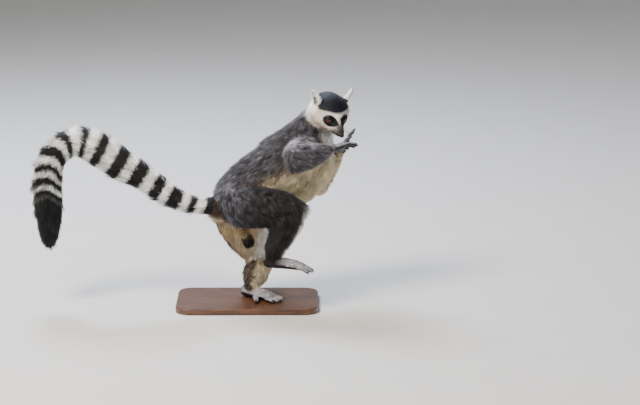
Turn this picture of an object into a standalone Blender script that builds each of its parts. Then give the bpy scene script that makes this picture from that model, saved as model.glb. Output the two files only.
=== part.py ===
"""Ring-tailed lemur, life size, as a still display model on a plain base.

It stands on its left hind foot with the right hind foot lifted, leans forward with both
hands raised, turns its face to its right and carries the tail behind in a hanging arch.
Metres, +Z up, +X the way the body faces, the animal's left side at +Y. The origin is the
centre of the base's underside. Every solid of the body is its outline to the coat's tips.
"""

import math

import bmesh
import bpy
import numpy as np
from mathutils import Matrix, Vector

# ---------------------------------------------------------------- driving dimensions
GAP = 0.0005            # clear space left between neighbouring solids
BASE_LENGTH = 0.290
BASE_WIDTH = 0.190
BASE_HEIGHT = 0.012
BASE_CORNER = 0.030
BASE_EDGE = 0.002
FLOOR_GAP = 0.0003      # the sole's flats lie this far above the base
SOLE_LEVEL = BASE_HEIGHT + FLOOR_GAP

EYE_RADIUS = 0.0083
EAR_HEIGHT = 0.0262
EAR_WIDTH = 0.023
EAR_THICKNESS = 0.0045

# Each route is a list of (x, y, z, half width, half depth) along a part's middle line.
TRUNK = [
    (-0.0561, -0.003, 0.1994, 0.0300, 0.0300),
    (-0.0388, 0.000, 0.2071, 0.0420, 0.0420),
    (-0.0163, 0.004, 0.2265, 0.0500, 0.0530),
    (0.0173, 0.012, 0.2478, 0.0540, 0.0620),
    (0.0594, 0.022, 0.2637, 0.0560, 0.0745),
    (0.0900, 0.032, 0.2807, 0.0530, 0.0785),
    (0.1113, 0.041, 0.3071, 0.0490, 0.0745),
    (0.1240, 0.048, 0.3316, 0.0450, 0.0610),
    (0.1332, 0.052, 0.3500, 0.0400, 0.0500),
]
NECK = [
    (0.1213, 0.047, 0.3280, 0.0400, 0.0460),
    (0.1336, 0.052, 0.3511, 0.0380, 0.0450),
    (0.1465, 0.054, 0.3715, 0.0350, 0.0400),
    (0.1572, 0.048, 0.3882, 0.0320, 0.0340),
]
TAIL = [
    (-0.0520, -0.001, 0.2063, 0.0280, 0.0280),
    (-0.0713, -0.003, 0.2057, 0.0235, 0.0235),
    (-0.0997, -0.006, 0.2095, 0.0195, 0.0195),
    (-0.1310, -0.010, 0.2176, 0.0190, 0.0190),
    (-0.1661, -0.015, 0.2384, 0.0205, 0.0205),
    (-0.2001, -0.020, 0.2633, 0.0230, 0.0230),
    (-0.2420, -0.024, 0.2893, 0.0285, 0.0285),
    (-0.2817, -0.028, 0.3176, 0.0308, 0.0308),
    (-0.3155, -0.031, 0.3381, 0.0285, 0.0285),
    (-0.3416, -0.032, 0.3430, 0.0262, 0.0262),
    (-0.3639, -0.032, 0.3362, 0.0250, 0.0250),
    (-0.3803, -0.032, 0.3235, 0.0255, 0.0255),
    (-0.3930, -0.031, 0.3037, 0.0268, 0.0268),
    (-0.4002, -0.029, 0.2786, 0.0278, 0.0278),
    (-0.4026, -0.027, 0.2492, 0.0278, 0.0278),
    (-0.4026, -0.025, 0.2198, 0.0262, 0.0262),
    (-0.4024, -0.023, 0.1902, 0.0242, 0.0242),
    (-0.4022, -0.021, 0.1627, 0.0212, 0.0212),
    (-0.4021, -0.020, 0.1416, 0.0165, 0.0165),
]
UPPER_ARM_RIGHT = [
    (0.1240, 0.014, 0.3270, 0.026, 0.030),
    (0.1100, -0.024, 0.3250, 0.024, 0.027),
    (0.0960, -0.056, 0.3215, 0.021, 0.024),
]
FOREARM_RIGHT = [
    (0.0950, -0.058, 0.3180, 0.0235, 0.027),
    (0.1170, -0.051, 0.3200, 0.0235, 0.0265),
    (0.1430, -0.035, 0.3240, 0.0195, 0.0205),
    (0.1700, -0.016, 0.3265, 0.0120, 0.0130),
]
UPPER_ARM_LEFT = [
    (0.1240, 0.082, 0.3170, 0.026, 0.030),
    (0.1330, 0.098, 0.2700, 0.022, 0.026),
    (0.1400, 0.104, 0.2280, 0.018, 0.021),
]
FOREARM_LEFT = [
    (0.1420, 0.105, 0.2230, 0.0185, 0.0200),
    (0.1560, 0.102, 0.2450, 0.0185, 0.0195),
    (0.1740, 0.096, 0.2730, 0.0150, 0.0160),
    (0.1910, 0.088, 0.2990, 0.0110, 0.0120),
]
THIGH_RIGHT = [
    (-0.0240, -0.026, 0.2130, 0.032, 0.044),
    (0.0100, -0.038, 0.2150, 0.035, 0.047),
    (0.0480, -0.052, 0.2150, 0.032, 0.042),
    (0.0780, -0.063, 0.2150, 0.027, 0.035),
    (0.0960, -0.070, 0.2120, 0.022, 0.028),
]
SHANK_RIGHT = [
    (0.1007, -0.071, 0.2182, 0.0220, 0.0275),
    (0.0875, -0.068, 0.1887, 0.0250, 0.0300),
    (0.0712, -0.064, 0.1578, 0.0230, 0.0290),
    (0.0579, -0.060, 0.1299, 0.0185, 0.0235),
    (0.0476, -0.058, 0.1076, 0.0135, 0.0150),
]
THIGH_LEFT = [
    (-0.0255, 0.030, 0.1997, 0.0340, 0.0470),
    (-0.0157, 0.040, 0.1712, 0.0350, 0.0520),
    (-0.0029, 0.054, 0.1417, 0.0330, 0.0500),
    (0.0142, 0.069, 0.1107, 0.0280, 0.0430),
    (0.0315, 0.081, 0.0909, 0.0220, 0.0310),
]
SHANK_LEFT = [
    (0.0336, 0.080, 0.0869, 0.0240, 0.0270),
    (0.0235, 0.062, 0.0698, 0.0285, 0.0290),
    (0.0166, 0.042, 0.0554, 0.0285, 0.0270),
    (0.0109, 0.020, 0.0427, 0.0220, 0.0210),
    (0.0081, 0.008, 0.0340, 0.0150, 0.0150),
]
SCROTUM = [
    (-0.0075, 0.000, 0.1538, 0.0110, 0.0120),
    (0.0038, -0.004, 0.1306, 0.0140, 0.0135),
]

# The head has its own axes: forward to the nose, left, and up. The face looks to the
# animal's right and down.
HEAD_CENTRE = Vector((0.1700, 0.030, 0.3982))
HEAD_TURN = math.radians(62)     # turned to the right from the way the body faces
HEAD_NOD = math.radians(38)
HEAD_TILT = math.radians(3)      # its left side lower than its right
# (forward, half width, top, bottom) of each section of the head
HEAD_SECTIONS = [
    (-0.0450, 0.0060, 0.0020, -0.0080),
    (-0.0420, 0.0180, 0.0115, -0.0180),
    (-0.0340, 0.0285, 0.0215, -0.0260),
    (-0.0220, 0.0375, 0.0295, -0.0310),
    (-0.0080, 0.0425, 0.0330, -0.0330),
    (0.0060, 0.0420, 0.0325, -0.0330),
    (0.0170, 0.0370, 0.0280, -0.0320),
    (0.0260, 0.0300, 0.0220, -0.0295),
    (0.0330, 0.0235, 0.0165, -0.0265),
    (0.0400, 0.0180, 0.0118, -0.0232),
    (0.0480, 0.0142, 0.0085, -0.0198),
    (0.0560, 0.0115, 0.0060, -0.0165),
    (0.0630, 0.0088, 0.0035, -0.0130),
    (0.0670, 0.0055, 0.0005, -0.0095),
]
EYE_PLACE = (0.0270, 0.0165, 0.0032)
EAR_ROOT = (-0.0130, 0.0290, 0.0200)
EAR_TIP = (-0.0250, 0.0455, 0.0405)
NOSE_PLACE = (0.0672, 0.0, -0.0022)

# Hands and feet: where each starts, the way its digits point, and the way the palm or
# sole faces.
HAND_RIGHT = ((0.1690, -0.0165, 0.3265), (0.80, 0.52, 0.16), (0.45, -0.25, -0.86))
HAND_LEFT = ((0.1900, 0.0885, 0.2975), (0.42, -0.16, 0.89), (0.90, -0.05, -0.42))
FOOT_RIGHT = ((0.0435, -0.0580, 0.1022), (0.985, -0.075, -0.055), (0.05, 0.05, -0.99))
FOOT_LEFT = ((-0.0050, 0.0190, 0.0236), (0.79, -0.61, 0.0), (0.0, 0.0, -1.0))

# (along, across towards the thumb or great toe, length, radius, spread angle in degrees)
FINGERS = [
    (0.012, 0.0120, 0.022, 0.0038, 50),
    (0.029, 0.0108, 0.024, 0.0033, 15),
    (0.031, 0.0036, 0.030, 0.0034, 5),
    (0.030, -0.0038, 0.031, 0.0034, -6),
    (0.027, -0.0110, 0.026, 0.0033, -18),
]
TOES = [
    (0.034, 0.0110, 0.034, 0.0054, 44),
    (0.062, 0.0118, 0.022, 0.0037, 11),
    (0.064, 0.0040, 0.028, 0.0038, 4),
    (0.063, -0.0040, 0.029, 0.0038, -4),
    (0.060, -0.0120, 0.025, 0.0038, -13),
]
# (along, towards the palm, half width, half thickness) of the palm and of the sole
PALM = [
    (0.000, 0.0000, 0.0100, 0.0085),
    (0.012, 0.0005, 0.0128, 0.0080),
    (0.024, 0.0010, 0.0148, 0.0072),
    (0.033, 0.0015, 0.0125, 0.0058),
]
SOLE = [
    (0.000, 0.0000, 0.0112, 0.0118),
    (0.018, 0.0000, 0.0118, 0.0120),
    (0.036, 0.0006, 0.0130, 0.0115),
    (0.054, 0.0020, 0.0158, 0.0098),
    (0.067, 0.0042, 0.0145, 0.0075),
]
FINGER_DROP = 0.0015    # how far the digits' roots lie towards the palm or sole
TOE_DROP = 0.0062


# ---------------------------------------------------------------- materials
def coat_material(name, colour, roughness=0.85):
    """A plain matt or glossy finish of one colour."""
    material = bpy.data.materials.new(name)
    material.use_nodes = True
    shader = material.node_tree.nodes["Principled BSDF"]
    shader.inputs["Base Color"].default_value = (*colour, 1.0)
    shader.inputs["Roughness"].default_value = roughness
    shader.inputs["Metallic"].default_value = 0.0
    return material


def add_object(name, mesh, material=None):
    """Turns a bmesh into an object of the scene and frees it."""
    data = bpy.data.meshes.new(name)
    mesh.to_mesh(data)
    mesh.free()
    if material:
        data.materials.append(material)
    obj = bpy.data.objects.new(name, data)
    bpy.context.scene.collection.objects.link(obj)
    return obj


# ---------------------------------------------------------------- lofted shapes
def smooth_route(route, steps):
    """Points on a Catmull-Rom curve through the route, with its widths, steps to each stretch."""
    rows = np.array(route, float)
    padded = np.vstack([2 * rows[0] - rows[1], rows, 2 * rows[-1] - rows[-2]])
    found = []
    for i in range(1, len(padded) - 2):
        before, start, end, after = padded[i - 1 : i + 3]
        for k in range(steps):
            t = k / steps
            found.append(
                0.5
                * (
                    2 * start
                    + (end - before) * t
                    + (2 * before - 5 * start + 4 * end - after) * t**2
                    + (3 * start - before - 3 * end + after) * t**3
                )
            )
    found.append(rows[-1])
    return np.array(found)


def directions(points):
    """The unit direction of a polyline at each of its points."""
    along = np.gradient(points, axis=0)
    return along / np.linalg.norm(along, axis=1)[:, None]


def ring_points(centre, along, across, half_width, half_depth, sides):
    """A closed ring across a route: an ellipse in the plane square to it."""
    side = across - along * (across @ along)
    side /= np.linalg.norm(side)
    depth = np.cross(along, side)
    turns = np.arange(sides) * 2 * math.pi / sides
    return [
        centre + side * half_width * math.cos(a) + depth * half_depth * math.sin(a)
        for a in turns
    ]


def rounded_end(centre, outward, along, across, half_width, half_depth, sides, rings=2):
    """Rings that close a tube's end as half an ellipsoid, and the pole past them."""
    reach = 0.75 * min(half_width, half_depth)
    found = []
    for k in range(1, rings + 1):
        angle = k * math.pi / 2 / (rings + 1)
        shrink = math.cos(angle)
        place = centre + outward * reach * math.sin(angle)
        found.append(
            ring_points(place, along, across, half_width * shrink, half_depth * shrink, sides)
        )
    return found, centre + outward * reach


def object_from_rings(name, rings, poles, material):
    """A closed solid of equal rings. A pole closes an end to a point, None closes it flat."""
    mesh = bmesh.new()
    rows = [[mesh.verts.new(p) for p in ring] for ring in rings]
    count = len(rows[0])
    for lower, upper in zip(rows, rows[1:]):
        for i in range(count):
            j = (i + 1) % count
            mesh.faces.new((lower[i], lower[j], upper[j], upper[i]))
    for row, pole in ((rows[0], poles[0]), (rows[-1], poles[1])):
        if pole is None:
            mesh.faces.new(row)
            continue
        tip = mesh.verts.new(pole)
        for i in range(count):
            mesh.faces.new((row[i], row[(i + 1) % count], tip))
    # Triangles here keep a solid and its grown copy split along the same diagonals.
    bmesh.ops.triangulate(mesh, faces=mesh.faces)
    bmesh.ops.recalc_face_normals(mesh, faces=mesh.faces)
    if mesh.calc_volume(signed=True) < 0:
        bmesh.ops.reverse_faces(mesh, faces=mesh.faces)
    obj = add_object(name, mesh, material)
    obj.data.shade_smooth()
    obj.data.set_sharp_from_angle(angle=math.radians(50))
    return obj


def tube(
    name,
    rows,
    material,
    across=(0, 1, 0),
    sides=12,
    ends=("round", "round"),
    along=None,
    cap_rings=2,
):
    """A closed tube along rows of (x, y, z, half width, half depth); across is the width's direction."""
    across = np.array(across, float)
    centres = rows[:, :3]
    if along is None:
        along = directions(centres)
    rings = [
        ring_points(c, t, across, w, d, sides)
        for c, t, (w, d) in zip(centres, along, rows[:, 3:])
    ]
    poles = [None, None]
    if ends[0] == "round":
        more, poles[0] = rounded_end(
            centres[0], -along[0], along[0], across, *rows[0, 3:], sides, cap_rings
        )
        rings = more[::-1] + rings
    if ends[1] == "round":
        more, poles[1] = rounded_end(
            centres[-1], along[-1], along[-1], across, *rows[-1, 3:], sides, cap_rings
        )
        rings = rings + more
    return object_from_rings(name, rings, poles, material)


def tube_lengths(names, rows, material, across=(0, 1, 0), sides=12, ends=("round", "round")):
    """One tube parted by thin square cuts into as many lengths as there are names."""
    along = directions(rows[:, :3])
    cuts = np.linspace(0, len(rows) - 1, len(names) + 1).round().astype(int)
    found = []
    for i, name in enumerate(names):
        first, last = cuts[i], cuts[i + 1]
        part = rows[first : last + 1].copy()
        if i > 0:
            part[0, :3] += along[first] * GAP / 2
        if i < len(names) - 1:
            part[-1, :3] -= along[last] * GAP / 2
        part_ends = (
            ends[0] if i == 0 else "flat",
            ends[1] if i == len(names) - 1 else "flat",
        )
        found.append(
            tube(name, part, material, across, sides, part_ends, along[first : last + 1])
        )
    return found


# ---------------------------------------------------------------- cutting
cutters = {}


def grown_copy(obj):
    """A hidden copy of a solid, grown by the gap, that cuts its neighbours."""
    if obj.name not in cutters:
        copy = obj.copy()
        copy.data = obj.data.copy()
        copy.name = "cutter_" + obj.name
        copy.modifiers.clear()
        grow = copy.modifiers.new("grow", "DISPLACE")
        grow.strength = GAP
        grow.mid_level = 0.0
        copy.hide_render = True
        copy.display_type = "WIRE"
        bpy.context.scene.collection.objects.link(copy)
        cutters[obj.name] = copy
    return cutters[obj.name]


def cut(obj, *others):
    """Takes the other solids, grown by the gap, out of this one."""
    for other in others:
        take = obj.modifiers.new("cut_" + other.name, "BOOLEAN")
        take.operation = "DIFFERENCE"
        take.solver = "EXACT"
        take.object = grown_copy(other)


# ---------------------------------------------------------------- the head
def head_axes():
    """Unit vectors forward, left and up of the head."""
    forward = Vector(
        (
            math.cos(HEAD_TURN) * math.cos(HEAD_NOD),
            -math.sin(HEAD_TURN) * math.cos(HEAD_NOD),
            -math.sin(HEAD_NOD),
        )
    )
    level = Vector((math.sin(HEAD_TURN), math.cos(HEAD_TURN), 0.0))
    upright = forward.cross(level)
    left = level * math.cos(HEAD_TILT) - upright * math.sin(HEAD_TILT)
    return forward, left, forward.cross(left)


def head_point(forward, left, up):
    """A place given in the head's own axes, in the model's."""
    ahead, aside, above = head_axes()
    return HEAD_CENTRE + ahead * forward + aside * left + above * up


def head_section(forward, half_width, top, bottom, sides):
    """A section of the head: an egg with its wide end down, where the cheeks are."""
    middle = (top + bottom) / 2
    half_height = (top - bottom) / 2
    cheek = 0.14
    ring = []
    for i in range(sides):
        angle = i * 2 * math.pi / sides
        rise = math.sin(angle)
        wide = half_width * math.cos(angle) * (1 - cheek * rise)
        ring.append(head_point(forward, wide, middle + half_height * rise))
    return ring


def make_head(material, sides=14):
    rings = [head_section(*row, sides) for row in HEAD_SECTIONS]
    front = HEAD_SECTIONS[-1]
    back = HEAD_SECTIONS[0]
    nose_tip = head_point(front[0] + 0.0015, 0, (front[2] + front[3]) / 2)
    nape = head_point(back[0] - 0.0010, 0, (back[2] + back[3]) / 2)
    return object_from_rings("head", rings, (nape, nose_tip), material)


def make_eye(name, side, material):
    """An eyeball with its clear front bulging a little, looking out of the socket."""
    ahead, aside, above = head_axes()
    look = (ahead * 0.90 + aside * 0.40 * side + above * 0.10).normalized()
    centre = head_point(EYE_PLACE[0], EYE_PLACE[1] * side, EYE_PLACE[2])
    mesh = bmesh.new()
    bmesh.ops.create_uvsphere(mesh, u_segments=10, v_segments=7, radius=EYE_RADIUS)
    for vertex in mesh.verts:
        towards = max(0.0, vertex.co.normalized().z - 0.75) / 0.25
        vertex.co *= 1 + 0.06 * towards
    turn = Vector((0, 0, 1)).rotation_difference(look).to_matrix().to_4x4()
    mesh.transform(Matrix.Translation(centre) @ turn)
    eye = add_object(name, mesh, material)
    eye.data.shade_smooth()
    return eye


def make_ear(name, side, material):
    """A cupped, pointed leaf, open to the front and the side."""
    ahead, aside, above = head_axes()
    root = head_point(EAR_ROOT[0], EAR_ROOT[1] * side, EAR_ROOT[2])
    tip = head_point(EAR_TIP[0], EAR_TIP[1] * side, EAR_TIP[2])
    rise = (tip - root).normalized()
    opening = (ahead * 0.80 + aside * side * 0.60).normalized()
    opening = (opening - rise * opening.dot(rise)).normalized()
    across = rise.cross(opening).normalized()
    rows, columns = 5, 4
    mesh = bmesh.new()
    grid = []
    for i in range(rows + 1):
        t = i / rows
        belly = 0.86 + 0.14 * math.sin(math.pi * t)
        half = EAR_WIDTH / 2 * math.sqrt(max(0.03, 1 - t**2.2)) * belly
        line = []
        for k in range(columns + 1):
            v = 2 * k / columns - 1
            cup = 0.0090 * (v * v) * (1 - 0.5 * t)
            place = root + rise * (t * 1.22 - 0.22) * EAR_HEIGHT * 1.05
            line.append(mesh.verts.new(place + across * v * half + opening * cup))
        grid.append(line)
    for i in range(rows):
        for k in range(columns):
            mesh.faces.new((grid[i][k], grid[i][k + 1], grid[i + 1][k + 1], grid[i + 1][k]))
    bmesh.ops.recalc_face_normals(mesh, faces=mesh.faces)
    ear = add_object(name, mesh, material)
    ear.data.shade_smooth()
    wall = ear.modifiers.new("wall", "SOLIDIFY")
    wall.thickness = EAR_THICKNESS
    wall.offset = 0.0
    return ear


def make_nose(material):
    """The bare nose pad at the muzzle's tip, a little wider than high."""
    forward, _, up = NOSE_PLACE
    rows = np.array(
        [
            (*head_point(forward - 0.0060, 0, up - 0.0010), 0.0050, 0.0040),
            (*head_point(forward - 0.0015, 0, up - 0.0010), 0.0062, 0.0046),
            (*head_point(forward + 0.0012, 0, up - 0.0012), 0.0050, 0.0038),
        ]
    )
    return tube("nose", rows, material, across=head_axes()[1], sides=8)


# ---------------------------------------------------------------- hands and feet
def limb_axes(digits_point, palm_faces, side):
    """Unit vectors along the digits, across towards the thumb, and out of the back of the hand."""
    along = Vector(digits_point).normalized()
    back = -Vector(palm_faces)
    back = (back - along * back.dot(along)).normalized()
    return along, back.cross(along).normalized() * side, back


def make_palm(name, place, side, rows, material, sides=8):
    """The palm or the sole, without its digits."""
    start, digits_point, palm_faces = place
    along, thumbward, back = limb_axes(digits_point, palm_faces, side)
    points = [
        (*(Vector(start) + along * a - back * drop), half_width, half_thickness)
        for a, drop, half_width, half_thickness in rows
    ]
    return tube(name, np.array(points), material, across=thumbward, sides=sides)


def make_digits(name, place, side, table, drop, curl, lift, material, sides=6):
    """Five digits, each a slim tube that bows over its joints and ends in a round pad."""
    start, digits_point, palm_faces = place
    along, thumbward, back = limb_axes(digits_point, palm_faces, side)
    found = []
    for number, (reach, across, length, radius, spread) in enumerate(table, 1):
        spread = math.radians(spread)
        way = along * math.cos(spread) + thumbward * math.sin(spread)
        root = Vector(start) + along * reach + thumbward * across - back * drop
        rows = []
        for t, fullness in ((0.0, 0.90), (0.48, 1.00), (0.90, 0.95)):
            bow = lift * math.sin(math.pi * t) - curl * t * t
            middle = root + (way * t + back * bow) * length
            rows.append((*middle, radius * fullness, radius * fullness))
        found.append(
            tube(f"{name}_{number}", np.array(rows), material, thumbward, sides, cap_rings=1)
        )
    return found


# ---------------------------------------------------------------- the stand
def make_base(material):
    """A flat board with round corners and eased edges."""
    mesh = bmesh.new()
    steps = 4
    corners = [(1, 1, 0), (-1, 1, 90), (-1, -1, 180), (1, -1, 270)]
    outline = []
    for sx, sy, start in corners:
        cx = sx * (BASE_LENGTH / 2 - BASE_CORNER)
        cy = sy * (BASE_WIDTH / 2 - BASE_CORNER)
        for k in range(steps + 1):
            angle = math.radians(start + 90 * k / steps)
            outline.append(
                mesh.verts.new(
                    (cx + BASE_CORNER * math.cos(angle), cy + BASE_CORNER * math.sin(angle), 0)
                )
            )
    face = mesh.faces.new(outline)
    made = bmesh.ops.extrude_face_region(mesh, geom=[face])
    top = [v for v in made["geom"] if isinstance(v, bmesh.types.BMVert)]
    bmesh.ops.translate(mesh, verts=top, vec=(0, 0, BASE_HEIGHT))
    bmesh.ops.recalc_face_normals(mesh, faces=mesh.faces)
    base = add_object("stand_base", mesh, material)
    ease = base.modifiers.new("eased_edges", "BEVEL")
    ease.width = BASE_EDGE
    ease.segments = 1
    ease.limit_method = "ANGLE"
    ease.angle_limit = math.radians(50)
    return base


def ground_cutter():
    """A hidden block whose top is the level of the soles."""
    mesh = bmesh.new()
    bmesh.ops.create_cube(mesh, size=1.0)
    height = 0.05
    bmesh.ops.scale(mesh, vec=(0.4, 0.4, height), verts=mesh.verts)
    bmesh.ops.translate(mesh, vec=(0, 0, SOLE_LEVEL - height / 2), verts=mesh.verts)
    ground = add_object("cutter_ground", mesh)
    ground.hide_render = True
    ground.display_type = "WIRE"
    return ground


def flatten_sole(ground, *objects):
    """Cuts the foot flat where it meets the base."""
    for obj in objects:
        take = obj.modifiers.new("flat_sole", "BOOLEAN")
        take.operation = "DIFFERENCE"
        take.solver = "EXACT"
        take.object = ground


# ---------------------------------------------------------------- the whole animal
def build():
    for obj in list(bpy.data.objects):
        bpy.data.objects.remove(obj, do_unlink=True)

    grey = coat_material("grey_coat", (0.16, 0.14, 0.13))
    pale = coat_material("pale_coat", (0.70, 0.64, 0.54))
    white = coat_material("white_coat", (0.85, 0.84, 0.82))
    black = coat_material("black_coat", (0.02, 0.02, 0.02))
    skin = coat_material("bare_skin", (0.03, 0.028, 0.028), 0.5)
    iris = coat_material("eye_orange", (0.45, 0.14, 0.04), 0.08)
    board = coat_material("stained_board", (0.10, 0.055, 0.03), 0.4)

    make_base(board)

    rump, belly, chest = tube_lengths(
        ["trunk_rump", "trunk_belly", "trunk_chest"],
        smooth_route(TRUNK, 2),
        grey,
        sides=16,
    )
    neck = tube("neck", smooth_route(NECK, 1), grey)
    head = make_head(white)
    tail_names = [f"tail_{i}" for i in range(1, 9)]
    tail = tube_lengths(tail_names, smooth_route(TAIL, 2), black)

    upper_arm_right = tube("upper_arm_right", np.array(UPPER_ARM_RIGHT), grey, (0, 0, 1), 10)
    forearm_right = tube("forearm_right", np.array(FOREARM_RIGHT), grey, sides=10)
    upper_arm_left = tube("upper_arm_left", np.array(UPPER_ARM_LEFT), grey, sides=10)
    forearm_left = tube("forearm_left", np.array(FOREARM_LEFT), grey, sides=10)
    thigh_right = tube("thigh_right", smooth_route(THIGH_RIGHT, 2), grey)
    shank_right = tube("shank_right", np.array(SHANK_RIGHT), grey)
    thigh_left = tube("thigh_left", smooth_route(THIGH_LEFT, 2), grey, (0.1, 1, 0))
    shank_left = tube("shank_left", np.array(SHANK_LEFT), grey, (0.9, -0.35, 0))
    scrotum = tube("scrotum", np.array(SCROTUM), skin, sides=10)

    hand_right = make_palm("hand_right", HAND_RIGHT, 1, PALM, skin)
    hand_left = make_palm("hand_left", HAND_LEFT, -1, PALM, skin)
    fingers_right = make_digits(
        "finger_right", HAND_RIGHT, 1, FINGERS, FINGER_DROP, 0.34, 0.10, skin
    )
    fingers_left = make_digits(
        "finger_left", HAND_LEFT, -1, FINGERS, FINGER_DROP, 0.16, 0.08, skin
    )
    foot_right = make_palm("foot_right", FOOT_RIGHT, 1, SOLE, pale)
    foot_left = make_palm("foot_left", FOOT_LEFT, -1, SOLE, pale)
    toes_right = make_digits("toe_right", FOOT_RIGHT, 1, TOES, TOE_DROP, 0.26, 0.10, pale)
    toes_left = make_digits("toe_left", FOOT_LEFT, -1, TOES, TOE_DROP, 0.06, 0.05, pale)

    eyes = [make_eye("eye_left", 1, iris), make_eye("eye_right", -1, iris)]
    ears = [make_ear("ear_left", 1, white), make_ear("ear_right", -1, white)]
    nose = make_nose(skin)

    cut(rump, thigh_right, thigh_left, tail[0])
    cut(belly, thigh_right, thigh_left, upper_arm_left, upper_arm_right)
    cut(chest, neck, upper_arm_right, upper_arm_left, forearm_right)
    cut(tail[0], thigh_right, thigh_left)
    cut(thigh_left, thigh_right)
    cut(neck, head, upper_arm_right, upper_arm_left)
    cut(head, *eyes, nose)
    for ear in ears:
        cut(ear, head)
    cut(upper_arm_right, forearm_right)
    cut(upper_arm_left, forearm_left)
    cut(shank_right, thigh_right)
    cut(shank_left, thigh_left)
    for palm, carrier, digits in (
        (hand_right, forearm_right, fingers_right),
        (hand_left, forearm_left, fingers_left),
        (foot_right, shank_right, toes_right),
        (foot_left, shank_left, toes_left),
    ):
        cut(palm, carrier)
        for digit in digits:
            cut(digit, palm)
    flatten_sole(ground_cutter(), foot_left, *toes_left)
    cut(scrotum, thigh_left, thigh_right, rump, belly)


build()
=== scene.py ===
"""Looks of the ring-tailed lemur model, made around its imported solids.

One skin of flesh lies inside the solids, with lids, nostrils and cupped ears. Over it lies
a coat of small solid tufts that follow the lie of the hair. Eyes, nails and whiskers are
pieces of their own, and the board keeps its solid and gets a wood finish.
Lengths are metres unless a name ends in _MM.
"""

import itertools
import math

import bmesh
import bpy
import numpy as np
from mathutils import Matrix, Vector
from mathutils.bvhtree import BVHTree
from mathutils.kdtree import KDTree


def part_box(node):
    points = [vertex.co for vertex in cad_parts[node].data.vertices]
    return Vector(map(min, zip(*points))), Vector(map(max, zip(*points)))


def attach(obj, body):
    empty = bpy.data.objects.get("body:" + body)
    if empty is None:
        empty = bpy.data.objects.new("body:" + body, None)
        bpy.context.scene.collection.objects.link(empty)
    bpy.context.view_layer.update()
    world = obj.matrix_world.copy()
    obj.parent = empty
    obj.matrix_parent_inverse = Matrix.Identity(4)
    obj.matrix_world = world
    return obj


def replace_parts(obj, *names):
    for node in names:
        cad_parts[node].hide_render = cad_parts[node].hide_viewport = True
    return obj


MM = 0.001
RANDOM = np.random.default_rng(11)

# ---------------------------------------------------------------- names of the parts
SIDES = ("right", "left")
TRUNK = ("trunk_chest", "trunk_belly", "trunk_rump")
TAIL = tuple(f"tail_{n}" for n in range(1, 9))
DIGITS_OF = {"hand": "finger", "foot": "toe"}


def digits(extremity, side):
    """The five digit nodes of a hand or a foot, thumb or great toe first."""
    return tuple(f"{DIGITS_OF[extremity]}_{side}_{n}" for n in range(1, 6))


def sign_of(name):
    """1 on the animal's left side and -1 on its right."""
    return 1 if "left" in name else -1


EXTREMITIES = tuple((kind, side) for kind in DIGITS_OF for side in SIDES)
EARS = ("ear_right", "ear_left")
LIMBS = tuple(
    f"{part}_{side}" for part in ("upper_arm", "forearm", "thigh", "shank") for side in SIDES
)
FLESH = (
    *TRUNK, "neck", "head", "nose", "scrotum", *EARS, *LIMBS, *TAIL,
    *(f"{kind}_{side}" for kind, side in EXTREMITIES),
    *(name for kind, side in EXTREMITIES for name in digits(kind, side)),
)

# coat over each part: depth from skin to hair tips, hair length and tuft width, in mm
COATS_MM = {
    "trunk": (9.5, 25.0, 1.15),
    "neck": (8.5, 21.0, 1.05),
    "head": (4.2, 9.0, 0.70),
    "nose": (0.3, 1.0, 0.3),
    "ear": (0.0, 5.5, 0.50),
    "upper_arm": (6.5, 17.0, 1.0),
    "forearm": (5.0, 14.0, 0.90),
    "hand": (0.9, 5.0, 0.50),
    "finger": (0.4, 3.0, 0.40),
    "thigh": (8.0, 21.0, 1.10),
    "shank": (6.0, 16.0, 0.95),
    "foot": (1.2, 6.0, 0.55),
    "toe": (0.4, 3.2, 0.42),
    "scrotum": (3.0, 11.0, 0.60),
    "tail": (12.5, 34.0, 1.15),
}

# where palms and soles face, in the model's axes
PALM_FACES = {
    "hand_right": (0.45, -0.25, -0.86),
    "hand_left": (0.90, -0.05, -0.42),
    "foot_right": (0.05, 0.05, -0.99),
    "foot_left": (0.0, 0.0, -1.0),
}

# ---------------------------------------------------------------- colours
GREY_BACK = "#444349"
GREY_ARM = "#57555a"
GREY_RUMP = "#5f6069"
BROWN_FLANK = "#54402f"
CHARCOAL = "#2a2729"
# painted shade: the near leg's shank is painted far darker than the far leg's below
NEAR_SHANK_SHADED = "#201e1f"
DIM_SHANK = "#4c4239"
CREAM = "#d0c2a2"
TAN = "#b08c5a"
BUFF = "#c6b088"
WHITE = "#efedea"
FOOT_GREY = "#9b9a9e"
CAP_SLATE = "#11151f"
RING_BLACK = "#0c0c0f"
ROOT_BROWN = "#3a2e29"
MUZZLE_GREY = "#4f4742"
BARE_BLACK = "#171314"
# painted shade for the hollow inside each ear and for the notch at its front edge
EAR_HOLLOW_SHADE = "#3d3637"


def linear(colour):
    """Linear red, green and blue of an sRGB hex colour."""
    parts = np.array([int(colour[i : i + 2], 16) / 255 for i in (1, 3, 5)])
    return np.where(parts <= 0.04045, parts / 12.92, ((parts + 0.055) / 1.055) ** 2.4)


def opaque(colour):
    return (*linear(colour), 1.0)


# ---------------------------------------------------------------- small sums
def unit(vectors):
    vectors = np.asarray(vectors, float)
    return vectors / np.maximum(np.linalg.norm(vectors, axis=-1, keepdims=True), 1e-12)


def step(start, end, values):
    """0 before start, 1 after end, and smooth between."""
    t = np.clip((values - start) / (end - start), 0, 1)
    return t * t * (3 - 2 * t)


def mix(first, second, amount):
    """Blends colours or points, each by its own amount."""
    amount = np.asarray(amount, float)[..., None]
    return first * (1 - amount) + second * amount


def distance(points, place):
    return np.linalg.norm(points - place, axis=1)


def across(vectors, direction):
    """The part of each vector that lies square to a direction."""
    return vectors - (vectors * direction).sum(-1, keepdims=True) * direction


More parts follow.
